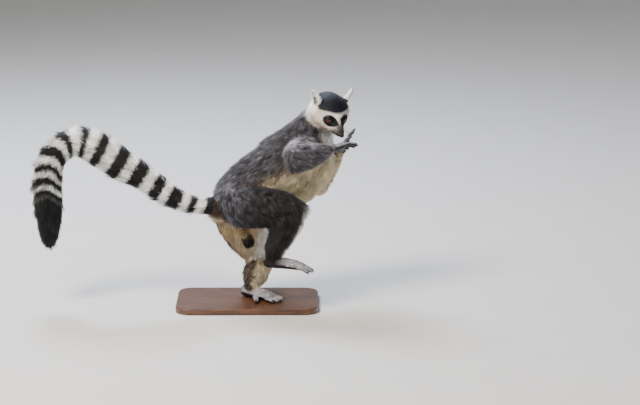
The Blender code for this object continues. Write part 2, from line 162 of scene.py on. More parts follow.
def drift(points, size, seed):
    """Smooth random values from -1 to 1 that change over a distance of size."""
    cells = points / size
    corner = np.floor(cells).astype(np.int64)
    part = cells - corner
    part = part * part * (3 - 2 * part)
    total = np.zeros(len(points))
    for offset in itertools.product((0, 1), repeat=3):
        x, y, z = (corner + offset).T
        mixed = (x * 73856093) ^ (y * 19349663) ^ (z * 83492791) ^ (seed * 2654435761)
        mixed = (mixed ^ (mixed >> 13)) * 1274126177
        value = (mixed >> 8 & 0xFFFF) / 0xFFFF
        total += value * np.prod(np.where(offset, part, 1 - part), axis=1)
    return 2 * total - 1


# ---------------------------------------------------------------- reading the frame
def read(collection, name, width, kind=float):
    values = np.zeros(len(collection) * width, kind)
    collection.foreach_get(name, values)
    return values.reshape(-1, width)


def solid(name):
    """Points and triangles of a node, with the points that share a place joined."""
    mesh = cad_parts[name].data
    mesh.calc_loop_triangles()
    points = read(mesh.vertices, "co", 3)
    corners = read(mesh.loop_triangles, "vertices", 3, np.int32)
    _, first, index = np.unique(
        np.round(points, 6), axis=0, return_index=True, return_inverse=True
    )
    return points[first], index.ravel()[corners]


def middle(name):
    low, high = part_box(name)
    return np.array((low + high) / 2)


def meeting(name, other, count=12):
    """The middle of the place where a node meets another one."""
    own = solid(name)[0]
    away = np.linalg.norm(own[:, None] - solid(other)[0][None], axis=2).min(1)
    return own[np.argsort(away)[:count]].mean(0)


def far_end(name, start):
    own = solid(name)[0]
    return own[distance(own, start).argmax()]


class Head:
    """The head's own axes, from its eyes and nose: ahead, to its left, and up."""

    EYE_AHEAD = 0.0270
    EYE_ABOVE = 0.0032
    NOSE_BELOW_EYES = math.radians(9.6)

    def __init__(self):
        self.eyes = {side: solid(f"eye_{side}")[0].mean(0) for side in SIDES}
        between = (self.eyes["right"] + self.eyes["left"]) / 2
        self.left = unit(self.eyes["left"] - self.eyes["right"])
        to_nose = unit(across(middle("nose") - between, self.left))
        square = np.cross(to_nose, self.left)
        self.ahead = to_nose * math.cos(self.NOSE_BELOW_EYES)
        self.ahead = self.ahead + square * math.sin(self.NOSE_BELOW_EYES)
        self.up = np.cross(self.ahead, self.left)
        self.centre = between - self.ahead * self.EYE_AHEAD - self.up * self.EYE_ABOVE
        self.axes = np.array((self.ahead, self.left, self.up))

    def local(self, points):
        return (points - self.centre) @ self.axes.T

    def place(self, local):
        return self.centre + np.asarray(local) @ self.axes

    def gaze(self, side):
        return unit(self.ahead * 0.82 + self.left * 0.50 * sign_of(side) + self.up * 0.20)

    def ear_opening(self, ear, rise):
        """The way that an ear is open, square to the way it rises."""
        return unit(across(self.ahead * 0.8 + self.left * sign_of(ear) * 0.6, rise))


# ---------------------------------------------------------------- meshes as arrays
def normals_of(points, triangles):
    first, second, third = (points[triangles[:, k]] for k in range(3))
    flat = np.cross(second - first, third - first)
    total = np.zeros_like(points)
    for corner in range(3):
        for axis in range(3):
            total[:, axis] += np.bincount(triangles[:, corner], flat[:, axis], len(points))
    return unit(total)


def relax(values, edges, rounds, pull=0.5):
    """Draws each point's values towards the mean of its neighbours'."""
    flat = values.reshape(len(values), -1)
    start, end = edges.T
    count = np.bincount(edges.ravel(), minlength=len(values))[:, None]
    for _ in range(rounds):
        total = np.empty_like(flat)
        for k in range(flat.shape[1]):
            total[:, k] = np.bincount(start, flat[end, k], len(flat))
            total[:, k] += np.bincount(end, flat[start, k], len(flat))
        flat = flat + pull * (total / np.maximum(count, 1) - flat)
    return flat.reshape(values.shape)


def joined(shapes):
    """One list of points and one of faces from several shapes."""
    points, faces, start = [], [], 0
    for own_points, own_faces in shapes:
        points.append(own_points)
        faces.append(np.asarray(own_faces) + start)
        start += len(own_points)
    return np.concatenate(points), np.concatenate(faces)


def mesh_of(name, points, faces):
    """A mesh from arrays; every face has the same number of corners."""
    mesh = bpy.data.meshes.new(name)
    corners = faces.shape[1]
    mesh.vertices.add(len(points))
    mesh.vertices.foreach_set("co", points.astype(np.float32).ravel())
    mesh.loops.add(faces.size)
    mesh.loops.foreach_set("vertex_index", faces.astype(np.int32).ravel())
    mesh.polygons.add(len(faces))
    mesh.polygons.foreach_set("loop_start", np.arange(len(faces), dtype=np.int32) * corners)
    mesh.polygons.foreach_set("use_smooth", np.ones(len(faces), bool))
    mesh.update(calc_edges=True)
    return mesh


def add_object(name, data):
    obj = bpy.data.objects.new(name, data)
    bpy.context.scene.collection.objects.link(obj)
    return obj


def show(name, mesh, material):
    """Adds a finished piece of the body."""
    mesh.materials.append(material)
    obj = add_object(name, mesh)
    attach(obj, "root")
    return obj


def add_colours(mesh, name, colours):
    layer = mesh.color_attributes.new(name, "FLOAT_COLOR", "POINT")
    full = np.ones((len(colours), 4), np.float32)
    full[:, :3] = colours
    layer.data.foreach_set("color", full.ravel())


def add_values(mesh, name, values):
    layer = mesh.attributes.new(name, "FLOAT", "POINT")
    layer.data.foreach_set("value", values.astype(np.float32))


def corners_of(cells):
    """Point numbers of the faces or edges of a bmesh."""
    return np.array([[vertex.index for vertex in cell.verts] for cell in cells])


def sides_of(faces):
    return np.concatenate([faces[:, (k, (k + 1) % 4)] for k in range(4)])


def largest_piece(points, faces):
    """Leaves out small loose pieces, such as the walls of a closed hollow."""
    label = np.arange(len(points))
    pairs = sides_of(faces)
    changed = True
    while changed:
        low = np.minimum(label[pairs[:, 0]], label[pairs[:, 1]])
        found = label.copy()
        np.minimum.at(found, pairs[:, 0], low)
        np.minimum.at(found, pairs[:, 1], low)
        found = found[found]
        changed = not np.array_equal(found, label)
        label = found
    keep = label == np.bincount(label).argmax()
    index = np.cumsum(keep) - 1
    return points[keep], index[faces[keep[faces[:, 0]]]]


def evaluated(draft):
    """The mesh that a draft object's modifier makes; the draft then goes."""
    graph = bpy.context.evaluated_depsgraph_get()
    mesh = bpy.data.meshes.new_from_object(draft.evaluated_get(graph))
    bpy.data.objects.remove(draft)
    return mesh


def remeshed(shapes, voxel):
    """The common outer surface of closed shapes that overlap, as even quads."""
    points, faces = joined(shapes)
    draft = add_object("draft", mesh_of("draft", points, faces))
    wrap = draft.modifiers.new("wrap", "REMESH")
    wrap.mode = "VOXEL"
    wrap.voxel_size = voxel
    mesh = evaluated(draft)
    points = read(mesh.vertices, "co", 3)
    faces = read(mesh.loops, "vertex_index", 1, np.int32).reshape(-1, 4)
    bpy.data.meshes.remove(mesh)
    return largest_piece(points, faces)


def quad_edges(faces):
    return np.unique(np.sort(sides_of(faces), axis=1), axis=0)


def quad_triangles(faces):
    return np.concatenate((faces[:, (0, 1, 2)], faces[:, (0, 2, 3)]))


def plate_faces(rows, columns):
    """Quads round a plate made of two layers of points, each a grid of rows and columns."""
    wide = columns + 1
    count = (rows + 1) * wide
    faces = []
    for i in range(rows):
        for k in range(columns):
            a = i * wide + k
            faces.append((a, a + 1, a + wide + 1, a + wide))
            faces.append((count + a + wide, count + a + wide + 1, count + a + 1, count + a))
    rim = list(range(wide))
    rim += [i * wide + columns for i in range(1, rows + 1)]
    rim += [rows * wide + k for k in range(columns - 1, -1, -1)]
    rim += [i * wide for i in range(rows - 1, 0, -1)]
    for a, b in zip(rim, rim[1:] + rim[:1]):
        faces.append((a, count + a, count + b, b))
    return np.array(faces)


# ---------------------------------------------------------------- which part a point is on
def kind_of(name):
    return max((kind for kind in COATS_MM if name.startswith(kind)), key=len)


def on(part, *names):
    """True for each point that is on one of the named nodes."""
    return np.isin(part, [FLESH.index(name) for name in names])


class Parts:
    """Finds the flesh node nearest to each point."""

    def __init__(self):
        self.owner = []
        shapes = []
        for number, name in enumerate(FLESH):
            points, triangles = solid(name)
            shapes.append((points, triangles))
            self.owner.extend([number] * len(triangles))
        points, triangles = joined(shapes)
        self.tree = BVHTree.FromPolygons(points.tolist(), triangles.tolist())

    def nearest(self, points):
        return np.array([self.owner[self.tree.find_nearest(p)[2]] for p in points.tolist()])


# ---------------------------------------------------------------- the lie of the hair
def lie_of_parts(head):
    """The way the hair lies on each flesh node, away from the head and down the limbs."""
    chains = [("head", "neck", *TRUNK, *TAIL)]
    for side in SIDES:
        for upper, lower, end in (("upper_arm", "forearm", "hand"), ("thigh", "shank", "foot")):
            chains.append((f"{upper}_{side}", f"{lower}_{side}", f"{end}_{side}"))
    lie = {"scrotum": np.array((0.0, 0.0, -1.0)), "nose": -head.ahead}
    for chain in chains:
        for number, name in enumerate(chain):
            before = chain[number - 1] if number else None
            after = chain[number + 1] if number + 1 < len(chain) else None
            start = meeting(name, before) if before else middle(name)
            end = meeting(name, after) if after else far_end(name, start)
            lie[name] = unit(end - start)
    lie["trunk_rump"] = unit(meeting("tail_1", "trunk_rump") - middle("trunk_belly"))
    for kind, side in EXTREMITIES:
        palm = f"{kind}_{side}"
        tips = []
        for name in digits(kind, side):
            root = meeting(name, palm, 8)
            tips.append(far_end(name, root))
            lie[name] = unit(tips[-1] - root)
        lie[palm] = unit(np.mean(tips, axis=0) - middle(palm))
    for name in EARS:
        aside = head.left * sign_of(name)
        lie[name] = unit(-head.ahead * 0.415 + aside * 0.570 + head.up * 0.709)
    return lie


class TailLine:
    """The curve down the middle of the tail, to tell how far along it a point is."""

    STEP = 0.0007
    SMOOTHINGS = 28

    def __init__(self):
        knots = [meeting("tail_1", "trunk_rump")]
        for name, after in zip(TAIL, TAIL[1:]):
            knots += [(knots[-1] + meeting(name, after)) / 2, meeting(name, after)]
        knots.append(far_end(TAIL[-1], knots[-1]))
        knots = np.array(knots)
        for _ in range(2):
            knots[1:-1:2] = (knots[:-2:2] + knots[2::2]) / 2 + self.bulge(knots)
        reach = np.r_[0, np.cumsum(np.linalg.norm(np.diff(knots, axis=0), axis=1))]
        count = int(reach[-1] / self.STEP)
        self.along = np.linspace(0, reach[-1], count)
        self.line = np.stack([np.interp(self.along, reach, knots[:, k]) for k in range(3)], 1)
        for _ in range(self.SMOOTHINGS):
            ends = self.line[:-2] + self.line[2:]
            self.line[1:-1] = (ends + 2 * self.line[1:-1]) / 4
        self.tree = KDTree(count)
        for number, point in enumerate(self.line):
            self.tree.insert(point, number)
        self.tree.balance()

    @staticmethod
    def bulge(knots):
        """How far the middle of each length stands off the straight line between its ends."""
        ends = knots[::2]
        bend = np.zeros_like(ends)
        bend[1:-1] = ends[1:-1] - (ends[:-2] + ends[2:]) / 2
        return (bend[:-1] + bend[1:]) / 8

    def place(self, points):
        """Distance along the tail and way out from its middle, for each point."""
        number = np.array([self.tree.find(point)[1] for point in points.tolist()])
        ahead = np.minimum(number + 4, len(self.line) - 1)
        behind = np.maximum(number - 4, 0)
        way = unit(self.line[ahead] - self.line[behind])
        return self.along[number], unit(across(points - self.line[number], way))


# ---------------------------------------------------------------- markings
BROWN_EDGED = ("trunk", "thigh")


class Markings:
    """Colours of the coat and of the skin below it, as functions of where a point is."""

    # the length of tail that the rings are drawn along, and where the white ones start and end
    RINGED_MM = 600
    WHITE_RINGS_MM = (
        (38, 55), (71, 87), (116, 132), (157, 177), (204, 223), (252, 273), (295, 311),
        (324, 339), (353, 367), (388, 402), (419, 430), (447, 457),
    )
    # past the last white ring a grey one shows faintly
    GREY_RING_MM = (467, 477)
    RING_SOFTNESS = 0.0014
    # the brown of the rump runs on over the root of the tail: on the skin, and in the hair
    SKIN_BROWN_ENDS = (0.015, 0.026)
    HAIR_BROWN_ENDS = (0.0305, 0.0325)
    ROOT_ENDS = 0.024
    # on the hanging end the hair parts, and the rings hang down on either side
    CHEVRON_START = 0.360
    CHEVRON_DROP = 0.021
    CHEVRON_TILT = 0.003
    # the pale belly ends at a sloping line along the flank: way up from it, and its level
    BELLY_EDGE = (-0.45, 0.0, 1.0, 0.2205)

    def __init__(self, head, lie, tail_line):
        self.head = head
        self.lie = lie
        self.tail_line = tail_line
        down = np.array((0.0, 0.0, -1.0))
        belly = unit(across(down, unit(middle("trunk_chest") - middle("trunk_rump"))))
        throat = unit(across(down, unit(middle("head") - middle("trunk_chest"))))
        self.coats = {
            # part: outer colour, inner colour, way the inner side faces, start, end
            "trunk": (GREY_BACK, CREAM, belly, 0.30, 0.62),
            "trunk_rump": (GREY_RUMP, CREAM, belly, 0.40, 0.80),
            "neck": (GREY_BACK, WHITE, throat, 0.25, 0.60),
            "head": (WHITE, WHITE, belly, 0, 1),
            "nose": (BARE_BLACK, BARE_BLACK, belly, 0, 1),
            "scrotum": (BUFF, BARE_BLACK, belly, 0, 1),
            # inside the ear: painted shade in its hollow
            "ear": (WHITE, EAR_HOLLOW_SHADE, belly, 0, 1),
            "tail": (RING_BLACK, RING_BLACK, belly, 0, 1),
            "thigh_right": (CHARCOAL, CREAM, unit((0.0, 0.75, -0.66)), 0.40, 0.80),
            "thigh_left": (CHARCOAL, CREAM, unit((0.25, -0.95, -0.10)), 0.10, 0.50),
            # the near shank's outer side carries painted shade
            "shank_right": (NEAR_SHANK_SHADED, WHITE, unit((0.78, 0.62, 0.05)), 0.10, 0.42),
            "shank_left": (DIM_SHANK, CREAM, unit((0.85, -0.45, 0.0)), 0.10, 0.75),
        }
        for side in SIDES:
            within = unit((0.15, -0.75 * sign_of(side), -0.60))
            pale = (0.35, 0.75) if side == "right" else (-0.05, 0.35)
            self.coats[f"upper_arm_{side}"] = (GREY_ARM, CREAM, within, *pale)
            self.coats[f"forearm_{side}"] = (GREY_ARM, CREAM, within, *pale)
            for palm, digit in DIGITS_OF.items():
                faces = unit(PALM_FACES[f"{palm}_{side}"])
                for kind in (palm, digit):
                    self.coats[f"{kind}_{side}"] = (FOOT_GREY, BARE_BLACK, faces, 0.15, 0.45)

    def ground(self, points, normals, part):
        """Colour of each point by its part and the side it faces, before it is blended."""
        colours = np.zeros((len(normals), 3))
        for number, name in enumerate(FLESH):
            here = part == number
            colours[here] = self.part_colour(name, points[here], normals[here])
        return colours

    def part_colour(self, name, points, normals):
        key = max((key for key in self.coats if name.startswith(key)), key=len)
        outer, inner, faces, start, end = self.coats[key]
        facing = normals @ faces
        inner_share = step(start, end, facing)
        brown_share = step(start - 0.35, start, facing)
        outside = np.tile(linear(outer), (len(points), 1))
        inside = np.tile(linear(inner), (len(points), 1))
        x, _, z = points.T
        if name.startswith("thigh"):
            hip, knee = meeting(name, "trunk_rump"), meeting(name, name.replace("thigh", "shank"))
            reach = (points - hip) @ (knee - hip) / ((knee - hip) @ (knee - hip))
            outside = mix(linear(GREY_RUMP), outside, step(-0.35, 0.55, reach))
        if name in ("thigh_left", "trunk_rump"):
            inside = mix(inside, linear(WHITE), step(0.002, 0.022, x))
            inside = mix(inside, linear(BUFF), step(0.128, 0.154, z) * step(0.030, 0.006, x))
        if "arm" in name:
            # the hair of the arms is painted paler where it faces up: partly a painted highlight
            # from the light above, partly the paler tips of real hair
            outside = outside * (1 + 0.9 * step(0.35, 0.95, normals[:, 2]))[:, None]
        if name == "foot_right":
            reach = points @ self.lie[name]
            # the heel end of the near foot takes the near shank's painted shade
            outside = mix(linear(NEAR_SHANK_SHADED), outside, step(0.016, 0.040, reach - reach.min()))
        if name == "scrotum":
            share = (z - z.min()) / np.ptp(z)
            inner_share = step(0.86, 0.54, share + 0.12 * drift(points, 0.006, 7))
        if name in EARS:
            # the ear's hollow gets painted shade
            inner_share = self.ear_hollow_shade(name, points, normals)
        if name in ("trunk_belly", "trunk_chest"):
            above = points @ unit(self.BELLY_EDGE[:3]) - self.BELLY_EDGE[3]
            inner_share = np.maximum(inner_share, step(0.006, -0.006, above))
            brown_share = np.maximum(brown_share, step(0.024, 0.004, above))
        if name.startswith(BROWN_EDGED):
            outside = mix(outside, linear(BROWN_FLANK), 0.75 * brown_share)
        return mix(outside, inside, inner_share)

    def ear_hollow_shade(self, name, points, normals):
        """1 where painted shade darkens the hollow low inside the ear, towards its outer edge."""
        own = solid(name)[0]
        rise = self.lie[name]
        outward = unit(across(self.head.left * sign_of(name), rise))
        high = (points - own.mean(0)) @ rise / np.ptp(own @ rise) + 0.5
        wide = (points - own.mean(0)) @ outward / np.ptp(own @ outward)
        oval = np.hypot((high - 0.20) / 0.36, (wide - 0.16) / 0.19)
        inside = step(-0.1, 0.3, normals @ self.head.ear_opening(name, rise))
        return step(1.15, 0.80, oval) * inside

    def finish(self, points, colours, on_tail, on_head, ringed=True):
        """Adds the tail's rings and the mask, cap and muzzle of the head."""
        tail = on_tail > 0.02
        if tail.any():
            amount = step(0.05, 0.6, on_tail[tail])
            colours[tail] = mix(colours[tail], self.rings(points[tail], ringed), amount)
        head = on_head > 0.02
        if head.any():
            amount = step(0.10, 0.55, on_head[head])
            colours[head] = mix(colours[head], self.face(points[head]), amount)
        return colours

    def ring_place(self, points):
        """How far along the tail each point is, as its rings count it, and its way out."""
        along, out = self.tail_line.place(points)
        sideways = 1 - out[:, 1] ** 2
        hanging = step(self.CHEVRON_START - 0.05, self.CHEVRON_START + 0.03, along)
        drop = self.CHEVRON_DROP * (sideways - 0.35) + self.CHEVRON_TILT * out[:, 0]
        return along - drop * hanging + 0.0022 * drift(points, 0.006, 3), out

    def rings(self, points, ringed):
        """Colours of the tail; where ringed is false, the hair's own material has the rings."""
        along, out = self.ring_place(points)
        white = np.zeros(len(points)) if ringed else np.ones(len(points))
        for start, end in self.WHITE_RINGS_MM if ringed else ():
            rise, fall = (
                step(edge * MM - self.RING_SOFTNESS, edge * MM + self.RING_SOFTNESS, along)
                for edge in (start, end)
            )
            white = np.maximum(white, rise * (1 - fall))
        colours = mix(linear(RING_BLACK), linear(WHITE), white)
        fades = self.SKIN_BROWN_ENDS if ringed else self.HAIR_BROWN_ENDS
        colours = mix(colours, linear(ROOT_BROWN), 1 - step(*fades, along))
        return mix(colours, linear(CREAM), 0.85 * self.below_root(along, out))

    def hair_ring_place(self, tufts, read_at):
        """How far along the rings each point of each tuft is, for the hair's material."""
        count, each = tufts.shape[:2]
        place, out = self.ring_place(tufts.reshape(-1, 3))
        place = place * (1 - self.below_root(place, out))
        # hair that is white at its end starts black, not brown
        past_root = np.repeat(self.ring_place(read_at)[0] > self.HAIR_BROWN_ENDS[0], each)
        place[past_root] = np.maximum(place[past_root], self.ROOT_ENDS + 3 * MM)
        uneven = np.repeat(0.0024 * RANDOM.normal(size=count), each)
        return place + uneven * step(self.ROOT_ENDS, 2 * self.ROOT_ENDS, place)

    @staticmethod
    def below_root(along, out):
        """1 in the pale fluff below the root of the tail."""
        return step(0.35, 0.85, -out[:, 2]) * step(0.034, 0.024, along)

    def face(self, points):
        local = self.head.local(points)
        ahead, left, up = local.T
        aside = np.abs(left)
        half = np.stack((ahead, aside, up), 1)
        colours = np.tile(linear(WHITE), (len(points), 1))

        def paint(colour, share):
            return mix(colours, linear(colour), share)

        def near(place, end, start):
            return step(end, start, distance(half, place))

        # tan cheek
        colours = paint(TAN, step(0.014, -0.014, up) * step(-0.024, 0.008, ahead) * 0.50)
        # grey nape, and a slate cap between the ears with a low peak between the brows
        brow = 0.0266 - 0.08 * aside - 14.0 * aside**2
        reach = 0.0260 + 0.0095 * step(-0.010, -0.002, ahead)
        cap = step(0.0025, -0.0025, ahead - brow) * step(0.008, 0.014, up)
        cap = cap * step(0.0020, -0.0020, aside - reach)
        nape = step(-0.012, -0.024, ahead) * step(-0.026, -0.010, up) * step(0.034, 0.022, aside)
        colours = paint(GREY_BACK, nape)
        colours = paint(CAP_SLATE, cap)
        # tan temple, and painted shade in the notch where the front edge of the ear meets the head
        colours = paint(TAN, 0.50 * near((0.009, 0.029, 0.011), 0.015, 0.006) * (1 - cap))
        colours = paint(EAR_HOLLOW_SHADE, 0.9 * near((-0.011, 0.0370, 0.0160), 0.0062, 0.0036))
        # grey bridge and sides of the muzzle, and its dark end
        colours = paint(MUZZLE_GREY, step(0.030, 0.046, ahead) * step(0.012, 0.004, aside) * 0.55)
        colours = paint(MUZZLE_GREY, step(0.038, 0.050, ahead) * 0.85)
        colours = paint(BARE_BLACK, step(0.048, 0.060, ahead) * 0.85)
        # black patch round each eye, an oval drawn out towards the nose
        towards_nose = unit((0.80, -0.58, 0.04))
        for side in SIDES:
            from_eye = local - self.head.local(self.head.eyes[side])
            from_eye[:, 1] *= sign_of(side)
            reach = from_eye @ towards_nose
            off_line = np.linalg.norm(across(from_eye, towards_nose), axis=1)
            width = 0.0124 - 0.24 * np.maximum(reach - 0.004, 0)
            oval = np.hypot(off_line / width, (reach - 0.0046) / 0.0204)
            colours = paint(RING_BLACK, step(1.08, 0.92, oval))
        return colours


# ---------------------------------------------------------------- the skin
# the skin keeps the solids' own shape on these, and all its triangles on these and the head
CRISP_PARTS = ("hand", "finger", "foot", "toe", "nose")
FINE_PARTS = (*CRISP_PARTS, "head", "ear")
FIRST_VOXEL = 0.0024
SKIN_VOXEL = 0.0014
# the solids are swollen by this much, so that neighbours overlap and are made one
SWELL = 0.0008
DIGIT_SWELL = 0.0004
SHRINK_STEPS = 8
# share of the triangles that stay where the coat hides the skin
THINNING = 0.38
EYEBALL = 0.0080
LID = 0.0010
# share of an ear's height at which it is widest
EAR_WIDEST = 0.42
# how much the hair of each part hangs down instead of lying along the part
HANGS = {"trunk": 0.45, "neck": 0.30, "upper_arm": 0.50, "forearm": 0.30, "thigh": 0.90,
         "shank": 0.20, "tail": 0.15}
# the lifted arm's hair hangs deeper and longer below it
FRINGE_MM = (6.0, 7.0)
ELBOW_HANG = 1.1


def swollen(name, amount):
    points, triangles = solid(name)
    return points + normals_of(points, triangles) * amount, triangles


def ear_cup(name, head, lie):
    """A cupped leaf with a rolled rim, thick at its root, inside the solid ear."""
    rows, columns = 16, 14
    own = solid(name)[0]
    rise = lie[name]
    opening = head.ear_opening(name, rise)
    aside = np.cross(rise, opening)
    centre = own.mean(0)
    low, high = ((own - centre) @ rise).min(), ((own - centre) @ rise).max()
    half_width = np.abs((own - centre) @ aside).max() * 0.74
    reach = (high - low) * 0.93
    shape = []
    for thick in (1, -1):
        for i in range(rows + 1):
            t = i / rows
            half = half_width * (0.60 + 0.40 * math.sin(min(t / EAR_WIDEST, 1) * math.pi / 2))
            above = max(0, (t - EAR_WIDEST) / (1 - EAR_WIDEST))
            half *= math.sqrt(max(0.02, 1 - above**2.4))
            for k in range(columns + 1):
                v = 2 * k / columns - 1
                wall = 0.0015 - 0.0004 * t
                cup = 0.0078 * v * v * (1 - 0.45 * t) - 0.0020
                shape.append(
                    centre + rise * (low + reach * t) + aside * v * half
                    + opening * (cup + wall * thick * (1 - 0.5 * v * v))
                )
    points = np.array(shape)
    triangles = quad_triangles(plate_faces(rows, columns))
    first, second, third = (points[triangles[:, k]] for k in range(3))
    if (first * np.cross(second, third)).sum() < 0:
        triangles = triangles[:, ::-1]
    return points, triangles


def ball(centre, radius):
    mesh = bmesh.new()
    bmesh.ops.create_icosphere(mesh, subdivisions=4, radius=radius)
    points = np.array([vertex.co for vertex in mesh.verts]) + centre
    triangles = corners_of(mesh.faces)
    mesh.free()
    return points, triangles


def coat_depth(points, part, head):
    """How far the skin lies below the solids at each point."""
    depth = np.array([COATS_MM[kind_of(name)][0] for name in FLESH])[part] * MM
    for name in TAIL:
        here = on(part, name)
        own = solid(name)[0]
        axis = unit(own[np.argmax(np.ptp(own, axis=0))] - own.mean(0))
        radius = np.median(np.linalg.norm(across(own - own.mean(0), axis), axis=1))
        depth[here] = np.minimum(depth[here], 0.55 * radius)
    on_head = on(part, "head")
    ahead, _, up = head.local(points[on_head]).T
    cheek = 2.5 * step(0.010, -0.025, up) * step(0.030, 0.005, ahead)
    short = step(0.012, 0.045, ahead)
    depth[on_head] = (4.2 + cheek - 2.9 * short) * MM
    return depth


def flesh(head, lie, parts):
    """The body inside its coat: swollen solids made one, then drawn in by the coat's depth."""
    bodies = [
        swollen(name, DIGIT_SWELL if kind_of(name) in ("finger", "toe") else SWELL)
        for name in FLESH if name not in EARS
    ]
    points, faces = remeshed(bodies, FIRST_VOXEL)
    edges = quad_edges(faces)
    triangles = quad_triangles(faces)
    part = parts.nearest(points)
    depth = relax(coat_depth(points, part, head), edges, 12)
    crisp = [name for name in FLESH if name.startswith(CRISP_PARTS)]
    hold = relax(on(part, *crisp).astype(float), edges, 4)[:, None]
    for _ in range(SHRINK_STEPS):
        normals = normals_of(points, triangles)
        points = points - normals * (depth[:, None] + SWELL * (1 - hold)) / SHRINK_STEPS
        points = mix(relax(points, edges, 2), points, hold[:, 0])
    # the fold where each thigh meets the rump is smoothed away
    hip = relax(on(part, "thigh_right", "thigh_left").astype(float), edges, 30)
    hip = 4 * hip * (1 - hip) * step(0.060, 0.030, points[:, 0]) * step(0.12, 0.16, points[:, 2])
    points = mix(points, relax(points, edges, 70), hip.clip(0, 1))
    shapes = [(points, triangles), *(solid(name) for name in crisp)]
    shapes += [ear_cup(name, head, lie) for name in EARS]
    shapes += [ball(head.eyes[side], EYEBALL + LID) for side in SIDES]
    return remeshed(shapes, SKIN_VOXEL)


def thinned(points, faces, soft):
    """Fewer triangles where the coat hides the skin; soft is 1 there and 0 on face and hands."""
    draft = add_object("draft", mesh_of("draft", points, faces))
    group = draft.vertex_groups.new(name="soft")
    for number in np.flatnonzero(soft > 0.5).tolist():
        group.add((number,), 1.0, "REPLACE")
    thin = draft.modifiers.new("thin", "DECIMATE")
    thin.ratio = THINNING
    thin.vertex_group = group.name
    mesh = evaluated(draft)
    mesh.calc_loop_triangles()
    points = read(mesh.vertices, "co", 3)
    triangles = read(mesh.loop_triangles, "vertices", 3, np.int32)
    bpy.data.meshes.remove(mesh)
    return points, triangles


def refine(points, faces, chosen):
    """Splits the chosen faces in four, for the lids, nose and lips."""
    mesh = bmesh.new()
    mesh.from_mesh(mesh_of("draft", points, faces))
    mesh.faces.ensure_lookup_table()
    edges = {edge for number in np.flatnonzero(chosen) for edge in mesh.faces[number].edges}
    bmesh.ops.subdivide_edges(mesh, edges=list(edges), cuts=1, use_grid_fill=True)
    bmesh.ops.triangulate(mesh, faces=mesh.faces)
    mesh.verts.index_update()
    points = np.array([vertex.co for vertex in mesh.verts])
    triangles, edges = corners_of(mesh.faces), corners_of(mesh.edges)
    mesh.free()
    return points, triangles, edges


# the opening of the lids, as half its width and height at a distance of 1 from the eye's middle
OPENING_WIDE = 0.66
OPENING_HIGH = 0.44
FAR_FROM_LIDS = 4.0


def lid_rim(points, head, side):
    """Where points lie round an eye: below 1 in the opening of the lids, above 1 outside it."""
    way = unit(points - head.eyes[side])
    gaze = head.gaze(side)
    upward = unit(across(head.up, gaze))
    rim = np.hypot(way @ np.cross(upward, gaze) / OPENING_WIDE, way @ upward / OPENING_HIGH)
    near = (way @ gaze > 0) & (distance(points, head.eyes[side]) < 0.020)
    return np.where(near, rim, FAR_FROM_LIDS)


def shape_lids(points, head):
    """Draws the skin over each eyeball as two lids with a rounded opening between them."""
    for side in SIDES:
        eye = head.eyes[side]
        own = distance(points, eye)
        way = unit(points - eye)
        rim = lid_rim(points, head, side)
        near = rim < 2.2
        # a thick edge, and a fold behind it
        lid = EYEBALL + LID + 0.0007 * np.exp(-(((rim - 1.14) / 0.12) ** 2))
        lid = lid - 0.0006 * np.exp(-(((rim - 1.62) / 0.14) ** 2))
        reach = lid + (own - lid) * step(1.25, 2.1, rim)
        # inside the opening the skin goes back behind the eyeball's surface
        open_share = 1 - step(0.90, 1.0, rim)
        reach = reach * (1 - open_share) + (EYEBALL - 0.0016) * open_share
        points[near] = (eye + way * reach[:, None])[near]
    return points


def shape_muzzle(points, normals, head):
    """Cuts the nostrils, the groove below the nose and the line of the lips."""
    ahead, left, up = head.local(points).T
    aside = np.abs(left)
    nostril = np.exp(-(((aside - 0.0034) / 0.0011) ** 2) - ((up + 0.0028) / 0.0013) ** 2)
    nostril = nostril * step(0.0625, 0.0650, ahead) * 0.0017
    groove = np.exp(-((left / 0.0007) ** 2)) * step(-0.0035, -0.0060, up)
    groove = groove * step(0.0600, 0.0640, ahead) * 0.0006
    lips = -0.0090 - 0.31 * (0.0660 - ahead)
    mouth = np.exp(-(((up - lips) / 0.0008) ** 2)) * step(0.034, 0.040, ahead) * 0.0010
    facing_side = step(0.1, 0.5, np.abs(normals @ head.left) + step(0.058, 0.066, ahead))
    cut = nostril + groove + mouth * facing_side
    return points - normals * cut[:, None]


